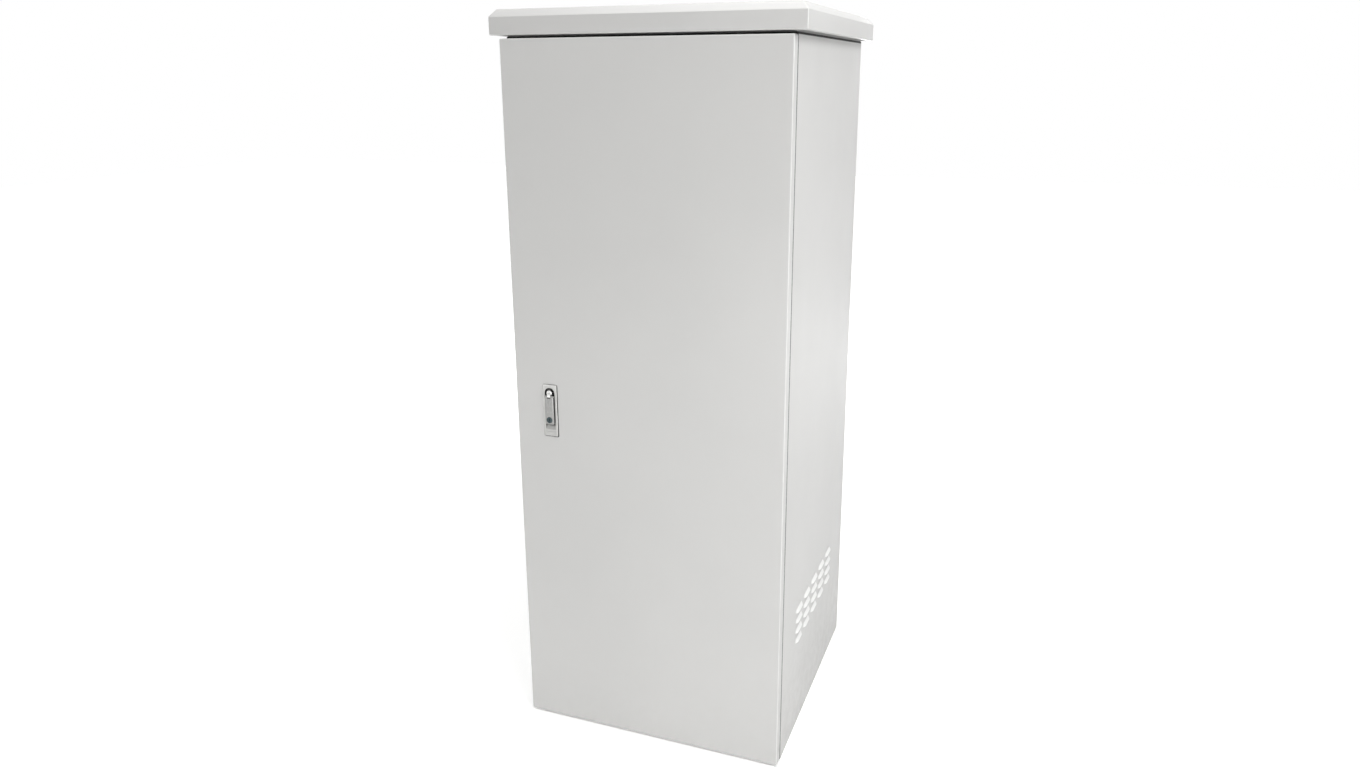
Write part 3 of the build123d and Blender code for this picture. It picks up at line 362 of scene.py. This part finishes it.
def makePowderCoat(name, seamShade=None, proud=None):
    values = powderCoat
    settings = {"IOR": values["refraction"], "Specular IOR Level": values["specular"]}
    material, tree, sockets = newMaterial(name, settings)
    looks = {"Grain": values["grain"], "Drift": values["drift"]}
    coat = useGroup(tree, coatTexture, (-700, 0), looks)
    # Painted highlight along the upright folds
    folds = useGroup(tree, foldHighlight, (-700, 300), {"Breakup": values["foldBreakup"]})
    amounts = {"Reach": values["dustReach"], "Flat": values["dustFlat"]}
    dirtAndShade = useGroup(tree, dust, (-700, -300), amounts)
    layers = [
        (folds["Mask"], values["foldHighlightShare"], values["fold"]),
        (dirtAndShade["Mask"], values["dustShare"], values["dust"]),
    ]
    # Painted shade in the seam at the door
    if seamShade:
        paintedShade = useGroup(tree, recessShading, (-700, 600), {"From": seamShade[0], "To": seamShade[1]})
        layers.append((paintedShade["Mask"], 1.0, values["paintedShade"]))
    # Painted highlight on the louvres' hoods
    if proud:
        hoodHighlight = useGroup(tree, proudFormHighlight, (-700, 900), {"From": proud[0], "To": proud[1]})
        layers.append((hoodHighlight["Mask"], 1.0, values["hoodHighlight"]))
    tone = colourMix(tree, (-400, 100), coat["Tone"], values["shade"], values["colour"])
    for number, (mask, share, colour) in enumerate(layers):
        weight = mathNode(tree, (-350 + 220 * number, 350), "MULTIPLY", mask, share)
        tone = colourMix(tree, (-200 + 220 * number, 100), weight, tone, colour)
    feed(tree, sockets["Base Color"], tone)
    smooth = mapRange(tree, (-300, -150), coat["Sheen"], *noiseBand, *values["rough"])
    dusty = mathNode(tree, (-50, -250), "MULTIPLY", dirtAndShade["Mask"], values["dustRough"])
    feed(tree, sockets["Roughness"], mathNode(tree, (150, -150), "ADD", smooth, dusty))
    addBump(tree, sockets, coat["Height"], values["bump"], values["bumpDepth"])
    return material


# Galvanised sheet of the rails, supports and vent guards
galvanised = {
    "dark": (0.36, 0.38, 0.40),
    "light": (0.56, 0.58, 0.60),
    "crystals": 85.0,
    "dullBand": (0.2, 0.8),
    "rough": (0.28, 0.52),
    "bump": 0.08,
    "bumpDepth": 0.0005,
}


def makeGalvanised():
    values = galvanised
    material, tree, sockets = newMaterial("galvanisedSheet", {"Metallic": 1.0})
    skin = useGroup(tree, zincSpangle, (-600, 100), {"Scale": values["crystals"]})
    tone = colourMix(tree, (-200, 150), skin["Tone"], values["dark"], values["light"])
    band = (*values["dullBand"], *values["rough"])
    feed(tree, sockets["Base Color"], tone)
    feed(tree, sockets["Roughness"], mapRange(tree, (-200, -150), skin["Dullness"], *band))
    addBump(tree, sockets, skin["Height"], values["bump"], values["bumpDepth"])
    return material


# Metals with a grain: castings, drawn bars, plated steel. A recess lies between two places on the
# object's Y axis, and its colour darkens toward the second as painted shade.
upright = (1100.0, 1100.0, 24.0)
even = (500.0, 500.0, 500.0)
metals = {
    "hingeSteel": {
        "light": (0.44, 0.44, 0.43), "dark": (0.33, 0.33, 0.32), "rough": (0.28, 0.42),
        "across": upright, "lineDepth": 0.6, "pits": 500.0, "pitDepth": 0.3,
    },
    "boltSteel": {
        "light": (0.55, 0.54, 0.50), "dark": (0.40, 0.39, 0.36), "rough": (0.22, 0.38),
        "across": even, "lineDepth": 0.4, "pits": 800.0, "pitDepth": 0.4,
    },
    "satinCasting": {
        "light": (0.385, 0.385, 0.375), "dark": (0.33, 0.33, 0.32), "rough": (0.26, 0.36),
        "across": upright, "lineDepth": 0.5, "pits": 900.0, "pitDepth": 0.35,
    },
    "pinSteel": {
        "light": (0.52, 0.52, 0.51), "dark": (0.40, 0.40, 0.39), "rough": (0.18, 0.30),
        "across": even, "lineDepth": 0.4, "pits": 900.0, "pitDepth": 0.2,
    },
    "rawCasting": {
        "light": (0.30, 0.30, 0.31), "dark": (0.22, 0.22, 0.23), "rough": (0.42, 0.60),
        "across": even, "lineDepth": 0.4, "pits": 450.0, "pitDepth": 1.2,
    },
    "drawnBar": {
        "light": (0.46, 0.47, 0.48), "dark": (0.36, 0.37, 0.38), "rough": (0.25, 0.42),
        "across": upright, "lineDepth": 0.9, "pits": 600.0, "pitDepth": 0.2,
    },
    "leverCasting": {
        "light": (0.245, 0.245, 0.24), "dark": (0.20, 0.20, 0.195), "rough": (0.28, 0.40),
        "across": upright, "lineDepth": 0.5, "pits": 900.0, "pitDepth": 0.3,
        # Painted shade on the lever's sides
        "recess": (-0.3547, -0.3520), "recessShadeColour": (0.10, 0.10, 0.10),
    },
    "dishCasting": {
        "light": (0.415, 0.415, 0.405), "dark": (0.36, 0.36, 0.35), "rough": (0.30, 0.42),
        "across": upright, "lineDepth": 0.4, "pits": 900.0, "pitDepth": 0.35,
        # Painted shade in the dish's trough, near black round the boss
        "recess": (-0.3478, -0.3446), "recessShadeColour": (0.018, 0.018, 0.018),
    },
    "polishedBoss": {
        "light": (0.62, 0.62, 0.61), "dark": (0.50, 0.50, 0.49), "rough": (0.20, 0.32),
        "across": even, "lineDepth": 0.2, "pits": 900.0, "pitDepth": 0.1,
    },
}
metalWear = {
    "breakup": 220.0,
    "gain": 1.25,
    "toneBand": (0.3, 0.75),
    "bump": 0.25,
    "bumpDepth": 0.0002,
}


def makeMetal(name):
    values = metals[name]
    material, tree, sockets = newMaterial(name, {"Metallic": 1.0})
    pattern = {"Across": values["across"], "Pits": values["pits"]}
    grain = useGroup(tree, metalGrain, (-700, 0), pattern)
    edges = useGroup(tree, edgeWear, (-700, 300), {"Breakup": metalWear["breakup"]})
    worn = mapRange(tree, (-450, 200), grain["Smudge"], *metalWear["toneBand"])
    tone = colourMix(tree, (-200, 200), worn, values["dark"], values["light"])
    bright = [min(1.0, part * metalWear["gain"]) for part in values["light"]]
    tone = colourMix(tree, (50, 200), edges["Mask"], tone, bright)
    # Painted shade in the recess
    if "recess" in values:
        near, deep = values["recess"]
        paintedShade = useGroup(tree, recessShading, (-200, 500), {"From": near, "To": deep})
        tone = colourMix(tree, (300, 300), paintedShade["Mask"], tone, values["recessShadeColour"])
    feed(tree, sockets["Base Color"], tone)
    rough = mapRange(tree, (-200, -100), grain["Lines"], *noiseBand, *values["rough"])
    feed(tree, sockets["Roughness"], rough)
    lines = mathNode(tree, (-200, -350), "MULTIPLY", grain["Lines"], values["lineDepth"])
    pits = mathNode(tree, (-200, -550), "MULTIPLY", grain["Pitting"], values["pitDepth"])
    height = mathNode(tree, (50, -450), "ADD", lines, pits)
    addBump(tree, sockets, height, metalWear["bump"], metalWear["bumpDepth"])
    return material


# Plastics, rubber, foam and fleece
moulded = {
    "keyFace": {
        "dark": (0.012, 0.030, 0.035), "light": (0.030, 0.058, 0.065), "rough": (0.20, 0.34),
        "scale": 300.0, "bump": 0.05,
    },
    "blackNylon": {
        "dark": (0.010, 0.010, 0.011), "light": (0.022, 0.022, 0.023), "rough": (0.38, 0.52),
        "scale": 700.0, "bump": 0.12,
    },
    "greyPlastic": {
        "dark": (0.030, 0.031, 0.033), "light": (0.048, 0.049, 0.051), "rough": (0.42, 0.58),
        "scale": 600.0, "bump": 0.12,
    },
    "filterFleece": {
        "dark": (0.50, 0.50, 0.48), "light": (0.78, 0.78, 0.75), "rough": (0.85, 0.98),
        "scale": 420.0, "bump": 0.9, "fibres": 2.5,
        "sheen": {"Sheen Weight": 0.25, "Sheen Roughness": 0.6},
    },
    "sealFoam": {
        "dark": (0.008, 0.008, 0.008), "light": (0.022, 0.022, 0.022), "rough": (0.70, 0.85),
        "scale": 900.0, "bump": 0.5,
    },
    "blackRubber": {
        "dark": (0.010, 0.010, 0.010), "light": (0.024, 0.024, 0.024), "rough": (0.55, 0.72),
        "scale": 500.0, "bump": 0.15,
    },
}
mouldedPattern = {
    "fine": (4.0, 0.65),
    "slow": (25.0, 4.0, 0.6),
    "toneBand": (0.15, 0.40),
    "bumpDepth": 0.0006,
}


def makeMoulded(name):
    values = moulded[name]
    material, tree, sockets = newMaterial(name, values.get("sheen", {}))
    spot = objectSpot(tree, (-900, 0))
    texture = (values["scale"], *mouldedPattern["fine"], values.get("fibres", 0.0))
    fine = addNoise(tree, (-600, 0), spot, *texture)
    slow = addNoise(tree, (-600, 300), spot, *mouldedPattern["slow"])
    blend = mathNode(tree, (-350, 200), "MULTIPLY", fine, slow)
    spread = mapRange(tree, (-150, 200), blend, *mouldedPattern["toneBand"])
    tone = colourMix(tree, (100, 200), spread, values["dark"], values["light"])
    feed(tree, sockets["Base Color"], tone)
    rough = mapRange(tree, (-150, -150), slow, *noiseBand, *values["rough"])
    feed(tree, sockets["Roughness"], rough)
    addBump(tree, sockets, fine, values["bump"], mouldedPattern["bumpDepth"])
    return material


finishes = {
    "painted_sheet": makePowderCoat("powderCoat"),
    "zinc_sheet": makeGalvanised(),
    "hinge_steel": makeMetal("hingeSteel"),
    "fastener_steel": makeMetal("boltSteel"),
    "lock_casting": makeMetal("satinCasting"),
    "lock_pin_steel": makeMetal("pinSteel"),
    "key_face": makeMoulded("keyFace"),
    "gear_casting": makeMetal("rawCasting"),
    "bar_steel": makeMetal("drawnBar"),
    "guide_plastic": makeMoulded("blackNylon"),
    "filter_frame": makeMoulded("greyPlastic"),
    "filter_fleece": makeMoulded("filterFleece"),
    "seal_foam": makeMoulded("sealFoam"),
    "grommet_rubber": makeMoulded("blackRubber"),
}
# Finishes of single nodes, where one slot's pieces differ in the photograph. The side panels
# have painted shade in the seam at the door, and a painted highlight on the hoods of their louvres.
panelCoat = makePowderCoat("panelCoat", seamShade=(-0.3146, -0.3166), proud=(0.3260, 0.3278))
nodeFinishes = {
    "lock_lever": makeMetal("leverCasting"),
    "lock_dish": makeMetal("dishCasting"),
    "lock_spindle": makeMetal("polishedBoss"),
    "key_barrel": finishes["key_face"],
    "side_panel_left": panelCoat,
    "side_panel_right": panelCoat,
}
print("materials ready:", len(finishes) + len(nodeFinishes))

for part in frame["record"]["subparts"]:
    for place in nodes[part["node"]].material_slots:
        place.material = nodeFinishes.get(part["node"], finishes[part["material_slot"]])


# Mesh helpers for the folded, moulded and foamed pieces
meshSteps = {"corner": 6, "fold": 5}


def addPiece(name, mesh, body, slot, finish=None):
    piece = bpy.data.objects.new(name, mesh)
    bpy.context.scene.collection.objects.link(piece)
    mesh.materials.append(finish or finishes[slot])
    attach(piece, body)
    return piece


def meshFrom(made, name):
    mesh = bpy.data.meshes.new(name)
    made.to_mesh(mesh)
    made.free()
    return mesh


def smoothFolds(mesh, angle=35.0):
    mesh.shade_smooth()
    mesh.set_sharp_from_angle(angle=math.radians(angle))


# Gives an open shell its sheet thickness, then keeps folds smooth and cut edges crisp. The
# offset is 0 for a shell in the sheet's middle and -1 for one on its outside.
def thickenSheet(piece, sheet, offset):
    thick = piece.modifiers.new("sheet", "SOLIDIFY")
    thick.thickness = sheet
    thick.offset = offset
    thick.use_even_offset = True
    graph = bpy.context.evaluated_depsgraph_get()
    solid = bpy.data.meshes.new_from_object(piece.evaluated_get(graph))
    piece.modifiers.clear()
    piece.data = solid
    smoothFolds(solid)


# A node's lowest and highest corners, its middle and its half sizes
def measure(node):
    low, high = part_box(node)
    middle = [(first + last) / 2 for first, last in zip(low, high)]
    half = [(last - first) / 2 for first, last in zip(low, high)]
    return low, high, middle, half


# A rounded rectangle's points, seen along its axis
def roundedLoop(halfWide, halfHigh, radius):
    points = []
    for corner, (sx, sy) in enumerate(((1, 1), (-1, 1), (-1, -1), (1, -1))):
        for step in range(meshSteps["corner"] + 1):
            angle = math.radians(90.0 * (corner + step / meshSteps["corner"]))
            wide = sx * (halfWide - radius) + radius * math.cos(angle)
            high = sy * (halfHigh - radius) + radius * math.sin(angle)
            points.append((wide, high))
    return points


# Skins a stack of rounded rectangles: (half width, half height, radius, level)
def skinLoops(name, levels, place, closed=False, capped=False):
    made = bmesh.new()
    rings = []
    for halfWide, halfHigh, radius, level in levels:
        loop = roundedLoop(halfWide, halfHigh, radius)
        rings.append([made.verts.new(place(wide, high, level)) for wide, high in loop])
    pairs = list(zip(rings, rings[1:]))
    if closed:
        pairs.append((rings[-1], rings[0]))
    for lower, upper in pairs:
        for index in range(len(lower)):
            after = (index + 1) % len(lower)
            made.faces.new((lower[index], lower[after], upper[after], upper[index]))
    if capped:
        made.faces.new(rings[-1])
    bmesh.ops.recalc_face_normals(made, faces=made.faces)
    return meshFrom(made, name)


# A folded sheet's section: its end points as (x, y), and each fold between as (x, y, radius)
def foldedProfile(corners):
    points = [corners[0][:2]]
    for before, here, after in zip(corners, corners[1:], corners[2:]):
        spot = Vector(here[:2])
        toward = (Vector(before[:2]) - spot).normalized()
        away = (Vector(after[:2]) - spot).normalized()
        half = toward.angle(away) / 2
        reach = here[2] / math.tan(half)
        middle = spot + (toward + away).normalized() * (here[2] / math.sin(half))
        first = spot + toward * reach - middle
        last = spot + away * reach - middle
        for step in range(meshSteps["fold"] + 1):
            share = step / meshSteps["fold"]
            points.append(tuple(middle + first.slerp(last, share).normalized() * here[2]))
    points.append(corners[-1][:2])
    return points


# Side panels: one folded sheet each, with the smooth pressed hoods of the louvres
sidePanel = {
    "sheet": 0.002,
    "bend": 0.002,
    "rimIn": 0.030,
    "rimLow": 0.030,
    "flange": 0.025,
    "bodyHalf": 0.325,
    "bodyFront": -0.3175,
}
# The mesh lines across each louvre are in millimetres from its middle and from its lip. A mesh
# line nearer than "touching" to a lip lies on it.
louvres = {
    "length": 0.058,
    "height": 0.013,
    "proud": 0.0065,
    "columns": 5,
    "rows": 4,
    "pitchY": 0.077,
    "pitchZ": 0.027,
    "centreY": -0.022,
    "centreZ": 0.293,
    "alongLines": (0.0, 10.0, 16.0, 19.0, 22.0, 24.5, 26.5, 28.0, 29.0, 30.5, 34.0),
    "upLines": (-6.5, -2.0, 0.0, 1.3, 3.2, 5.2, 7.2, 9.0, 10.5, 11.7, 12.5, 13.0, 16.0),
    "roundness": 6,
    "touching": 1e-6,
}


def hoodHeight(along, up):
    straight = louvres["length"] / 2 - louvres["height"]
    reach = math.hypot(max(abs(along) - straight, 0.0), up) / louvres["height"]
    if up < 0.0 or reach >= 1.0:
        return 0.0
    taper = 1.0 - reach ** louvres["roundness"]
    return louvres["proud"] * math.cos(math.pi / 2 * reach) * taper


def louvreCentres(count, pitch, centre):
    return [centre + (number - (count - 1) / 2) * pitch for number in range(count)]


# The panel's section seen from above: rim, front fold, wall, rear fold and flange
def panelPlan(rimTip, rear):
    half = sidePanel["sheet"] / 2
    bend = sidePanel["bend"]
    front = sidePanel["bodyFront"] + half
    wall = sidePanel["bodyHalf"] - half
    rim = sidePanel["bodyHalf"] - sidePanel["rimIn"] - half
    tail = (sidePanel["bodyHalf"] - sidePanel["flange"], rear - half)
    return foldedProfile(
        [(rim, rimTip), (rim, front, bend), (wall, front, bend), (wall, rear - half, bend), tail]
    )


def makeSidePanel(name, node, side):
    low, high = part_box("side_panel_right")
    tall = high[2]
    rimLow = sidePanel["rimLow"]
    wallX = sidePanel["bodyHalf"] - sidePanel["sheet"] / 2
    plan = panelPlan(low[1], high[1])
    hoodYs = louvreCentres(louvres["columns"], louvres["pitchY"], louvres["centreY"])
    lowestLip = louvres["centreZ"] - louvres["height"] / 2
    lipZs = louvreCentres(louvres["rows"], louvres["pitchZ"], lowestLip)
    along = sorted({sign * value / 1000 for value in louvres["alongLines"] for sign in (-1, 1)})
    wallYs = [centre + value for centre in hoodYs for value in along]
    wallStart = 1 + 2 * (meshSteps["fold"] + 1)
    columns = plan[:wallStart] + [(wallX, y) for y in wallYs] + plan[wallStart:]
    wallColumns = range(wallStart, wallStart + len(wallYs))
    rows = [0.0, rimLow]
    rows += [lip + value / 1000 for lip in lipZs for value in louvres["upLines"]]
    rows += [tall - rimLow, tall]
    made = bmesh.new()
    # Each grid point has a lower and an upper vertex, which part only at an open lip
    grid = {}
    for i, (x, y) in enumerate(columns):
        for j, z in enumerate(rows):
            grid[i, j, 1] = grid[i, j, 0] = made.verts.new((side * x, y, z))
            if i not in wallColumns:
                continue
            nearY = min(hoodYs, key=lambda centre: abs(centre - y))
            nearZ = min(lipZs, key=lambda lip: abs(lip + louvres["height"] / 2 - z))
            onLip = abs(z - nearZ) < louvres["touching"]
            raised = hoodHeight(y - nearY, 0.0 if onLip else z - nearZ)
            if raised == 0.0:
                continue
            if onLip:
                grid[i, j, 1] = made.verts.new((side * (x + raised), y, z))
            else:
                grid[i, j, 0].co.x = side * (x + raised)
    for i in range(len(columns) - 1):
        inRim = (columns[i][1] + columns[i + 1][1]) / 2 < sidePanel["bodyFront"]
        for j in range(len(rows) - 1):
            if inRim and not rimLow <= (rows[j] + rows[j + 1]) / 2 <= tall - rimLow:
                continue
            around = [grid[i, j, 1], grid[i + 1, j, 1], grid[i + 1, j + 1, 0], grid[i, j + 1, 0]]
            made.faces.new(around if side > 0 else around[::-1])
    loose = [vert for vert in made.verts if not vert.link_faces]
    bmesh.ops.delete(made, geom=loose, context="VERTS")
    panel = addPiece(name, meshFrom(made, name), "cabinet", "painted_sheet", panelCoat)
    thickenSheet(panel, sidePanel["sheet"], 0.0)
    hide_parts(node)


makeSidePanel("louvredPanelRight", "side_panel_right", 1)
makeSidePanel("louvredPanelLeft", "side_panel_left", -1)
print("side panels ready")


# Roof canopy: fascia, bevel and top with soft folds and an inward lip
roof = {
    "lip": 0.012,
    "lipFold": 0.003,
    "fascia": 0.038,
    "inset": 0.0135,
    "top": 0.03,
    "sheet": 0.002,
    "corner": 0.003,
    "fold": 0.004,
}


def makeRoof():
    low, high, middle, half = measure("roof_canopy")
    inset, fold = roof["inset"], roof["fold"]
    profile = foldedProfile(
        [
            (roof["lip"], low[2]),
            (0.0, low[2], roof["lipFold"]),
            (0.0, low[2] + roof["fascia"], fold),
            (inset, high[2], fold),
            (inset + roof["top"], high[2]),
        ]
    )
    levels = [(half[0] - away, half[1] - away, roof["corner"], z) for away, z in profile]

    def place(wide, deep, z):
        return wide, middle[1] + deep, z

    mesh = skinLoops("roofShell", levels, place, capped=True)
    shell = addPiece("roofShell", mesh, "cabinet", "painted_sheet")
    thickenSheet(shell, roof["sheet"], -1.0)
    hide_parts("roof_canopy")


makeRoof()


# Door seal: a foamed bead with a rounded top, all round the door's inside. Half its section
# is given in shares of half its width and of its depth.
doorSeal = {
    "width": 0.012,
    "corner": 0.016,
    "section": ((-1.0, 0.0), (-1.0, 0.35), (-0.93, 0.62), (-0.74, 0.83), (-0.42, 0.96), (0.0, 1.0)),
    "crease": 50.0,
}


def makeDoorSeal():
    low, high, middle, half = measure("door_seal")
    reach = doorSeal["width"] / 2
    deep = high[1] - low[1]
    section = list(doorSeal["section"])
    section += [(-across, rise) for across, rise in reversed(section[:-1])]
    levels = []
    for across, rise in section:
        out = across * reach
        outer = (half[0] - reach + out, half[2] - reach + out, doorSeal["corner"] + out)
        levels.append((*outer, low[1] + rise * deep))

    def place(wide, tall, y):
        return wide, y, middle[2] + tall

    mesh = skinLoops("sealBead", levels, place, closed=True)
    smoothFolds(mesh, doorSeal["crease"])
    bead = addPiece("sealBead", mesh, "door", "seal_foam")
    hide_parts("door_seal")


makeDoorSeal()


# Rubber gasket under the lock's plate, which shows as a dark line on its hinge side. Its shift
# right and down also makes it stand in for the shade along the plate's right and bottom edges.
# Its section is given as the distance out from the plate and a share of its thickness.
lockGasketShade = {
    "section": ((-0.002, 0.0), (-0.002, 1.0), (0.0007, 1.0), (0.001, 0.6), (0.001, 0.0)),
    "thick": 0.0008,
    "corner": 0.003,
    "shift": (0.0008, -0.0007),
}


def makeLockGasketShade():
    middle, half = measure("lock_dish")[2:]
    middleX = middle[0] + lockGasketShade["shift"][0]
    middleZ = middle[2] + lockGasketShade["shift"][1]
    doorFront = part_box("door_panel")[0][1]
    levels = []
    for out, share in lockGasketShade["section"]:
        outer = (half[0] + out, half[2] + out, lockGasketShade["corner"] + out)
        levels.append((*outer, doorFront - share * lockGasketShade["thick"]))

    def place(wide, tall, y):
        return middleX + wide, y, middleZ + tall

    mesh = skinLoops("lockGasketShade", levels, place, closed=True)
    smoothFolds(mesh)
    addPiece("lockGasketShade", mesh, "door", "grommet_rubber")


makeLockGasketShade()


# Black sealing strip round the roof carrier, on the body's top edges, which also stands in for the
# shade in the gap under the roof. Its section is given as the distance out from the carrier and the
# height above the body.
roofSealShade = {
    "corner": 0.003,
    "section": ((0.0001, 0.0), (0.0018, 0.0), (0.0021, 0.002), (0.0014, 0.0043), (0.0001, 0.0045)),
}


def makeRoofSealShade():
    middle, half = measure("roof_carrier")[2:]
    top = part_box("side_panel_right")[1][2]
    corner = roofSealShade["corner"]
    section = roofSealShade["section"]
    levels = [(half[0] + out, half[1] + out, corner + out, top + up) for out, up in section]

    def place(wide, deep, z):
        return wide, middle[1] + deep, z

    mesh = skinLoops("roofSealShadeStrip", levels, place, closed=True)
    smoothFolds(mesh)
    addPiece("roofSealShadeStrip", mesh, "cabinet", "seal_foam")


makeRoofSealShade()


# Filter mats: fleece pads with soft edges and a slightly uneven loft
filterMat = {
    "across": 72,
    "up": 24,
    "uneven": 0.0007,
    "ripple": 45.0,
    "faceShift": 7.0,
    "edge": 0.006,
    "edgeShare": 0.45,
    "crease": 60.0,
}


def makeFilterMat(name, node):
    low, high, middle, half = measure(node)
    across, tall = filterMat["across"], filterMat["up"]
    uneven, ripple = filterMat["uneven"], filterMat["ripple"]
    made = bmesh.new()
    grid = {}
    for face in (-1, 1):
        for i in range(across + 1):
            for j in range(tall + 1):
                y = low[1] + 2 * half[1] * i / across
                z = low[2] + 2 * half[2] * j / tall
                margin = min(y - low[1], high[1] - y, z - low[2], high[2] - z)
                share = min(1.0, margin / filterMat["edge"])
                swell = math.sqrt(1.0 - (1.0 - share) ** 2)
                full = swell * (1.0 - filterMat["edgeShare"]) + filterMat["edgeShare"]
                spot = Vector((face * filterMat["faceShift"], y * ripple, z * ripple))
                wave = noise.noise(spot) * uneven * share
                depth = (half[0] - uneven) * full + wave
                grid[face, i, j] = made.verts.new((middle[0] + face * depth, y, z))
    for i in range(across):
        for j in range(tall):
            for face in (-1, 1):
                corners = ((i, j), (i + 1, j), (i + 1, j + 1), (i, j + 1))
                made.faces.new([grid[face, a, b] for a, b in corners])
    rims = [((i, j), (i + 1, j)) for i in range(across) for j in (0, tall)]
    rims += [((i, j), (i, j + 1)) for j in range(tall) for i in (0, across)]
    for first, last in rims:
        made.faces.new((grid[-1, *first], grid[-1, *last], grid[1, *last], grid[1, *first]))
    bmesh.ops.recalc_face_normals(made, faces=made.faces)
    mesh = meshFrom(made, name)
    smoothFolds(mesh, filterMat["crease"])
    mat = addPiece(name, mesh, "cabinet", "filter_fleece")
    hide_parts(node)


makeFilterMat("fleeceMatRight", "filter_mat_right")
makeFilterMat("fleeceMatLeft", "filter_mat_left")
print("roof, seal, gasket and mats ready")


# Camera at the photograph's place, fitted to the cabinet's edges
cameraView = {
    "place": (0.8256, -2.269, 1.569),
    "turn": 20.574,
    "down": 15.511,
    "roll": -0.153,
    "lens": 26.06,
    "sensor": 36.0,
    "shift": (-0.0057, -0.0245),
    "clip": (0.05, 60.0),
}


def makeCamera():
    data = bpy.data.cameras.new("photoCamera")
    data.lens = cameraView["lens"]
    data.sensor_width = cameraView["sensor"]
    data.shift_x, data.shift_y = cameraView["shift"]
    data.clip_start, data.clip_end = cameraView["clip"]
    camera = bpy.data.objects.new("photoCamera", data)
    bpy.context.scene.collection.objects.link(camera)
    camera.location = cameraView["place"]
    tilt = math.radians(90.0 - cameraView["down"])
    turned = Euler((tilt, 0.0, math.radians(cameraView["turn"])), "XYZ").to_matrix()
    rolled = Euler((0.0, 0.0, math.radians(cameraView["roll"])), "XYZ").to_matrix()
    camera.rotation_euler = (turned @ rolled).to_euler("XYZ")
    bpy.context.scene.camera = camera


makeCamera()


# Studio: soft lamps, a white surround and a pale floor
lamps = {
    "sky": {"place": (0.2, -0.5, 5.2), "aim": (0.0, -0.1, 1.0), "size": 4.6, "watts": 147.0},
    "key": {"place": (3.3, -3.0, 3.7), "aim": (0.1, -0.1, 0.9), "size": 2.0, "watts": 53.0},
    "side": {"place": (1.9, -0.5, 3.0), "aim": (0.33, -0.1, 1.6), "size": 1.0, "watts": 24.0},
    "foot": {"place": (2.4, -1.7, 0.2), "aim": (0.3, -0.2, 0.1), "size": 1.0, "watts": 17.0},
    "low": {"place": (0.5, -3.0, 0.25), "aim": (0.05, -0.3, 0.2), "size": 1.6, "watts": 31.0},
    "left": {"place": (-4.4, 0.5, 2.4), "aim": (-0.3, 0.0, 0.9), "size": 3.4, "watts": 84.0},
    "rear": {"place": (-0.35, 4.7, 1.7), "aim": (0.0, 0.2, 0.9), "size": 1.3, "watts": 60.0},
}


def makeLamps():
    for name, values in lamps.items():
        data = bpy.data.lights.new(name, "AREA")
        data.shape = "DISK"
        data.size = values["size"]
        data.energy = values["watts"]
        lamp = bpy.data.objects.new(name, data)
        lamp.location = values["place"]
        aim = Vector(values["aim"]) - lamp.location
        lamp.rotation_euler = aim.to_track_quat("-Z", "Y").to_euler()
        bpy.context.scene.collection.objects.link(lamp)


# One for camera, glossy and transmission rays, and zero for rays that only carry light
def seenRays(tree, x, y):
    rays = addNode(tree, "ShaderNodeLightPath", (x, y)).outputs
    straight = (rays["Is Camera Ray"], rays["Is Glossy Ray"])
    first = mathNode(tree, (x + 250, y), "MAXIMUM", *straight)
    return mathNode(tree, (x + 500, y), "MAXIMUM", first, rays["Is Transmission Ray"])


surround = {"ambient": 0.10, "seen": 1.0, "colour": (1.0, 1.0, 1.0)}


def makeSurround():
    world = bpy.data.worlds.new("studio")
    bpy.context.scene.world = world
    world.use_nodes = True
    tree = world.node_tree
    tree.nodes.clear()
    shades = []
    for number, strength in enumerate((surround["ambient"], surround["seen"])):
        values = {"Color": (*surround["colour"], 1), "Strength": strength}
        shades.append(addNode(tree, "ShaderNodeBackground", (100, -50 - 150 * number), values))
    values = {0: seenRays(tree, -400, 200), 1: shades[0].outputs[0], 2: shades[1].outputs[0]}
    mixed = addNode(tree, "ShaderNodeMixShader", (400, 0), values)
    addNode(tree, "ShaderNodeOutputWorld", (600, 0), {0: mixed.outputs[0]})


# The floor keeps the object's shadow near by and fades into the white surround further out
floorPlate = {
    "half": 14.0,
    "colour": (0.90, 0.90, 0.895),
    "darker": 0.985,
    "cloud": 1.3,
    "rough": 0.75,
    "specular": 0.2,
    "lift": 0.30,
    "near": 1.0,
    "far": 3.6,
}


def makeFloor():
    values = floorPlate
    mesh = bpy.data.meshes.new("studioFloor")
    half = values["half"]
    corners = [(-half, -half, 0), (half, -half, 0), (half, half, 0), (-half, half, 0)]
    mesh.from_pydata(corners, [], [(0, 1, 2, 3)])
    floor = bpy.data.objects.new("studioFloor", mesh)
    bpy.context.scene.collection.objects.link(floor)
    settings = {"Roughness": values["rough"], "Specular IOR Level": values["specular"]}
    settings["Emission Color"] = (1.0, 1.0, 1.0, 1.0)
    material, tree, sockets = newMaterial("paleFloor", settings)
    spot = objectSpot(tree, (-900, 0))
    cloud = addNoise(tree, (-450, 150), spot, values["cloud"])
    darker = [part * values["darker"] for part in values["colour"]]
    feed(tree, sockets["Base Color"], colourMix(tree, (-100, 150), cloud, values["colour"], darker))
    reach = addNode(tree, "ShaderNodeVectorMath", (-700, -150), {0: spot}, operation="LENGTH")
    band = (values["near"], values["far"], values["lift"], 1.0)
    fade = mapRange(tree, (-450, -150), reach.outputs["Value"], *band, smooth=True)
    glow = mathNode(tree, (100, -300), "MULTIPLY", fade, seenRays(tree, -700, -400))
    feed(tree, sockets["Emission Strength"], glow)
    mesh.materials.append(material)


makeLamps()
makeSurround()
makeFloor()
bpy.context.scene.view_settings.view_transform = "Standard"
print("studio ready")
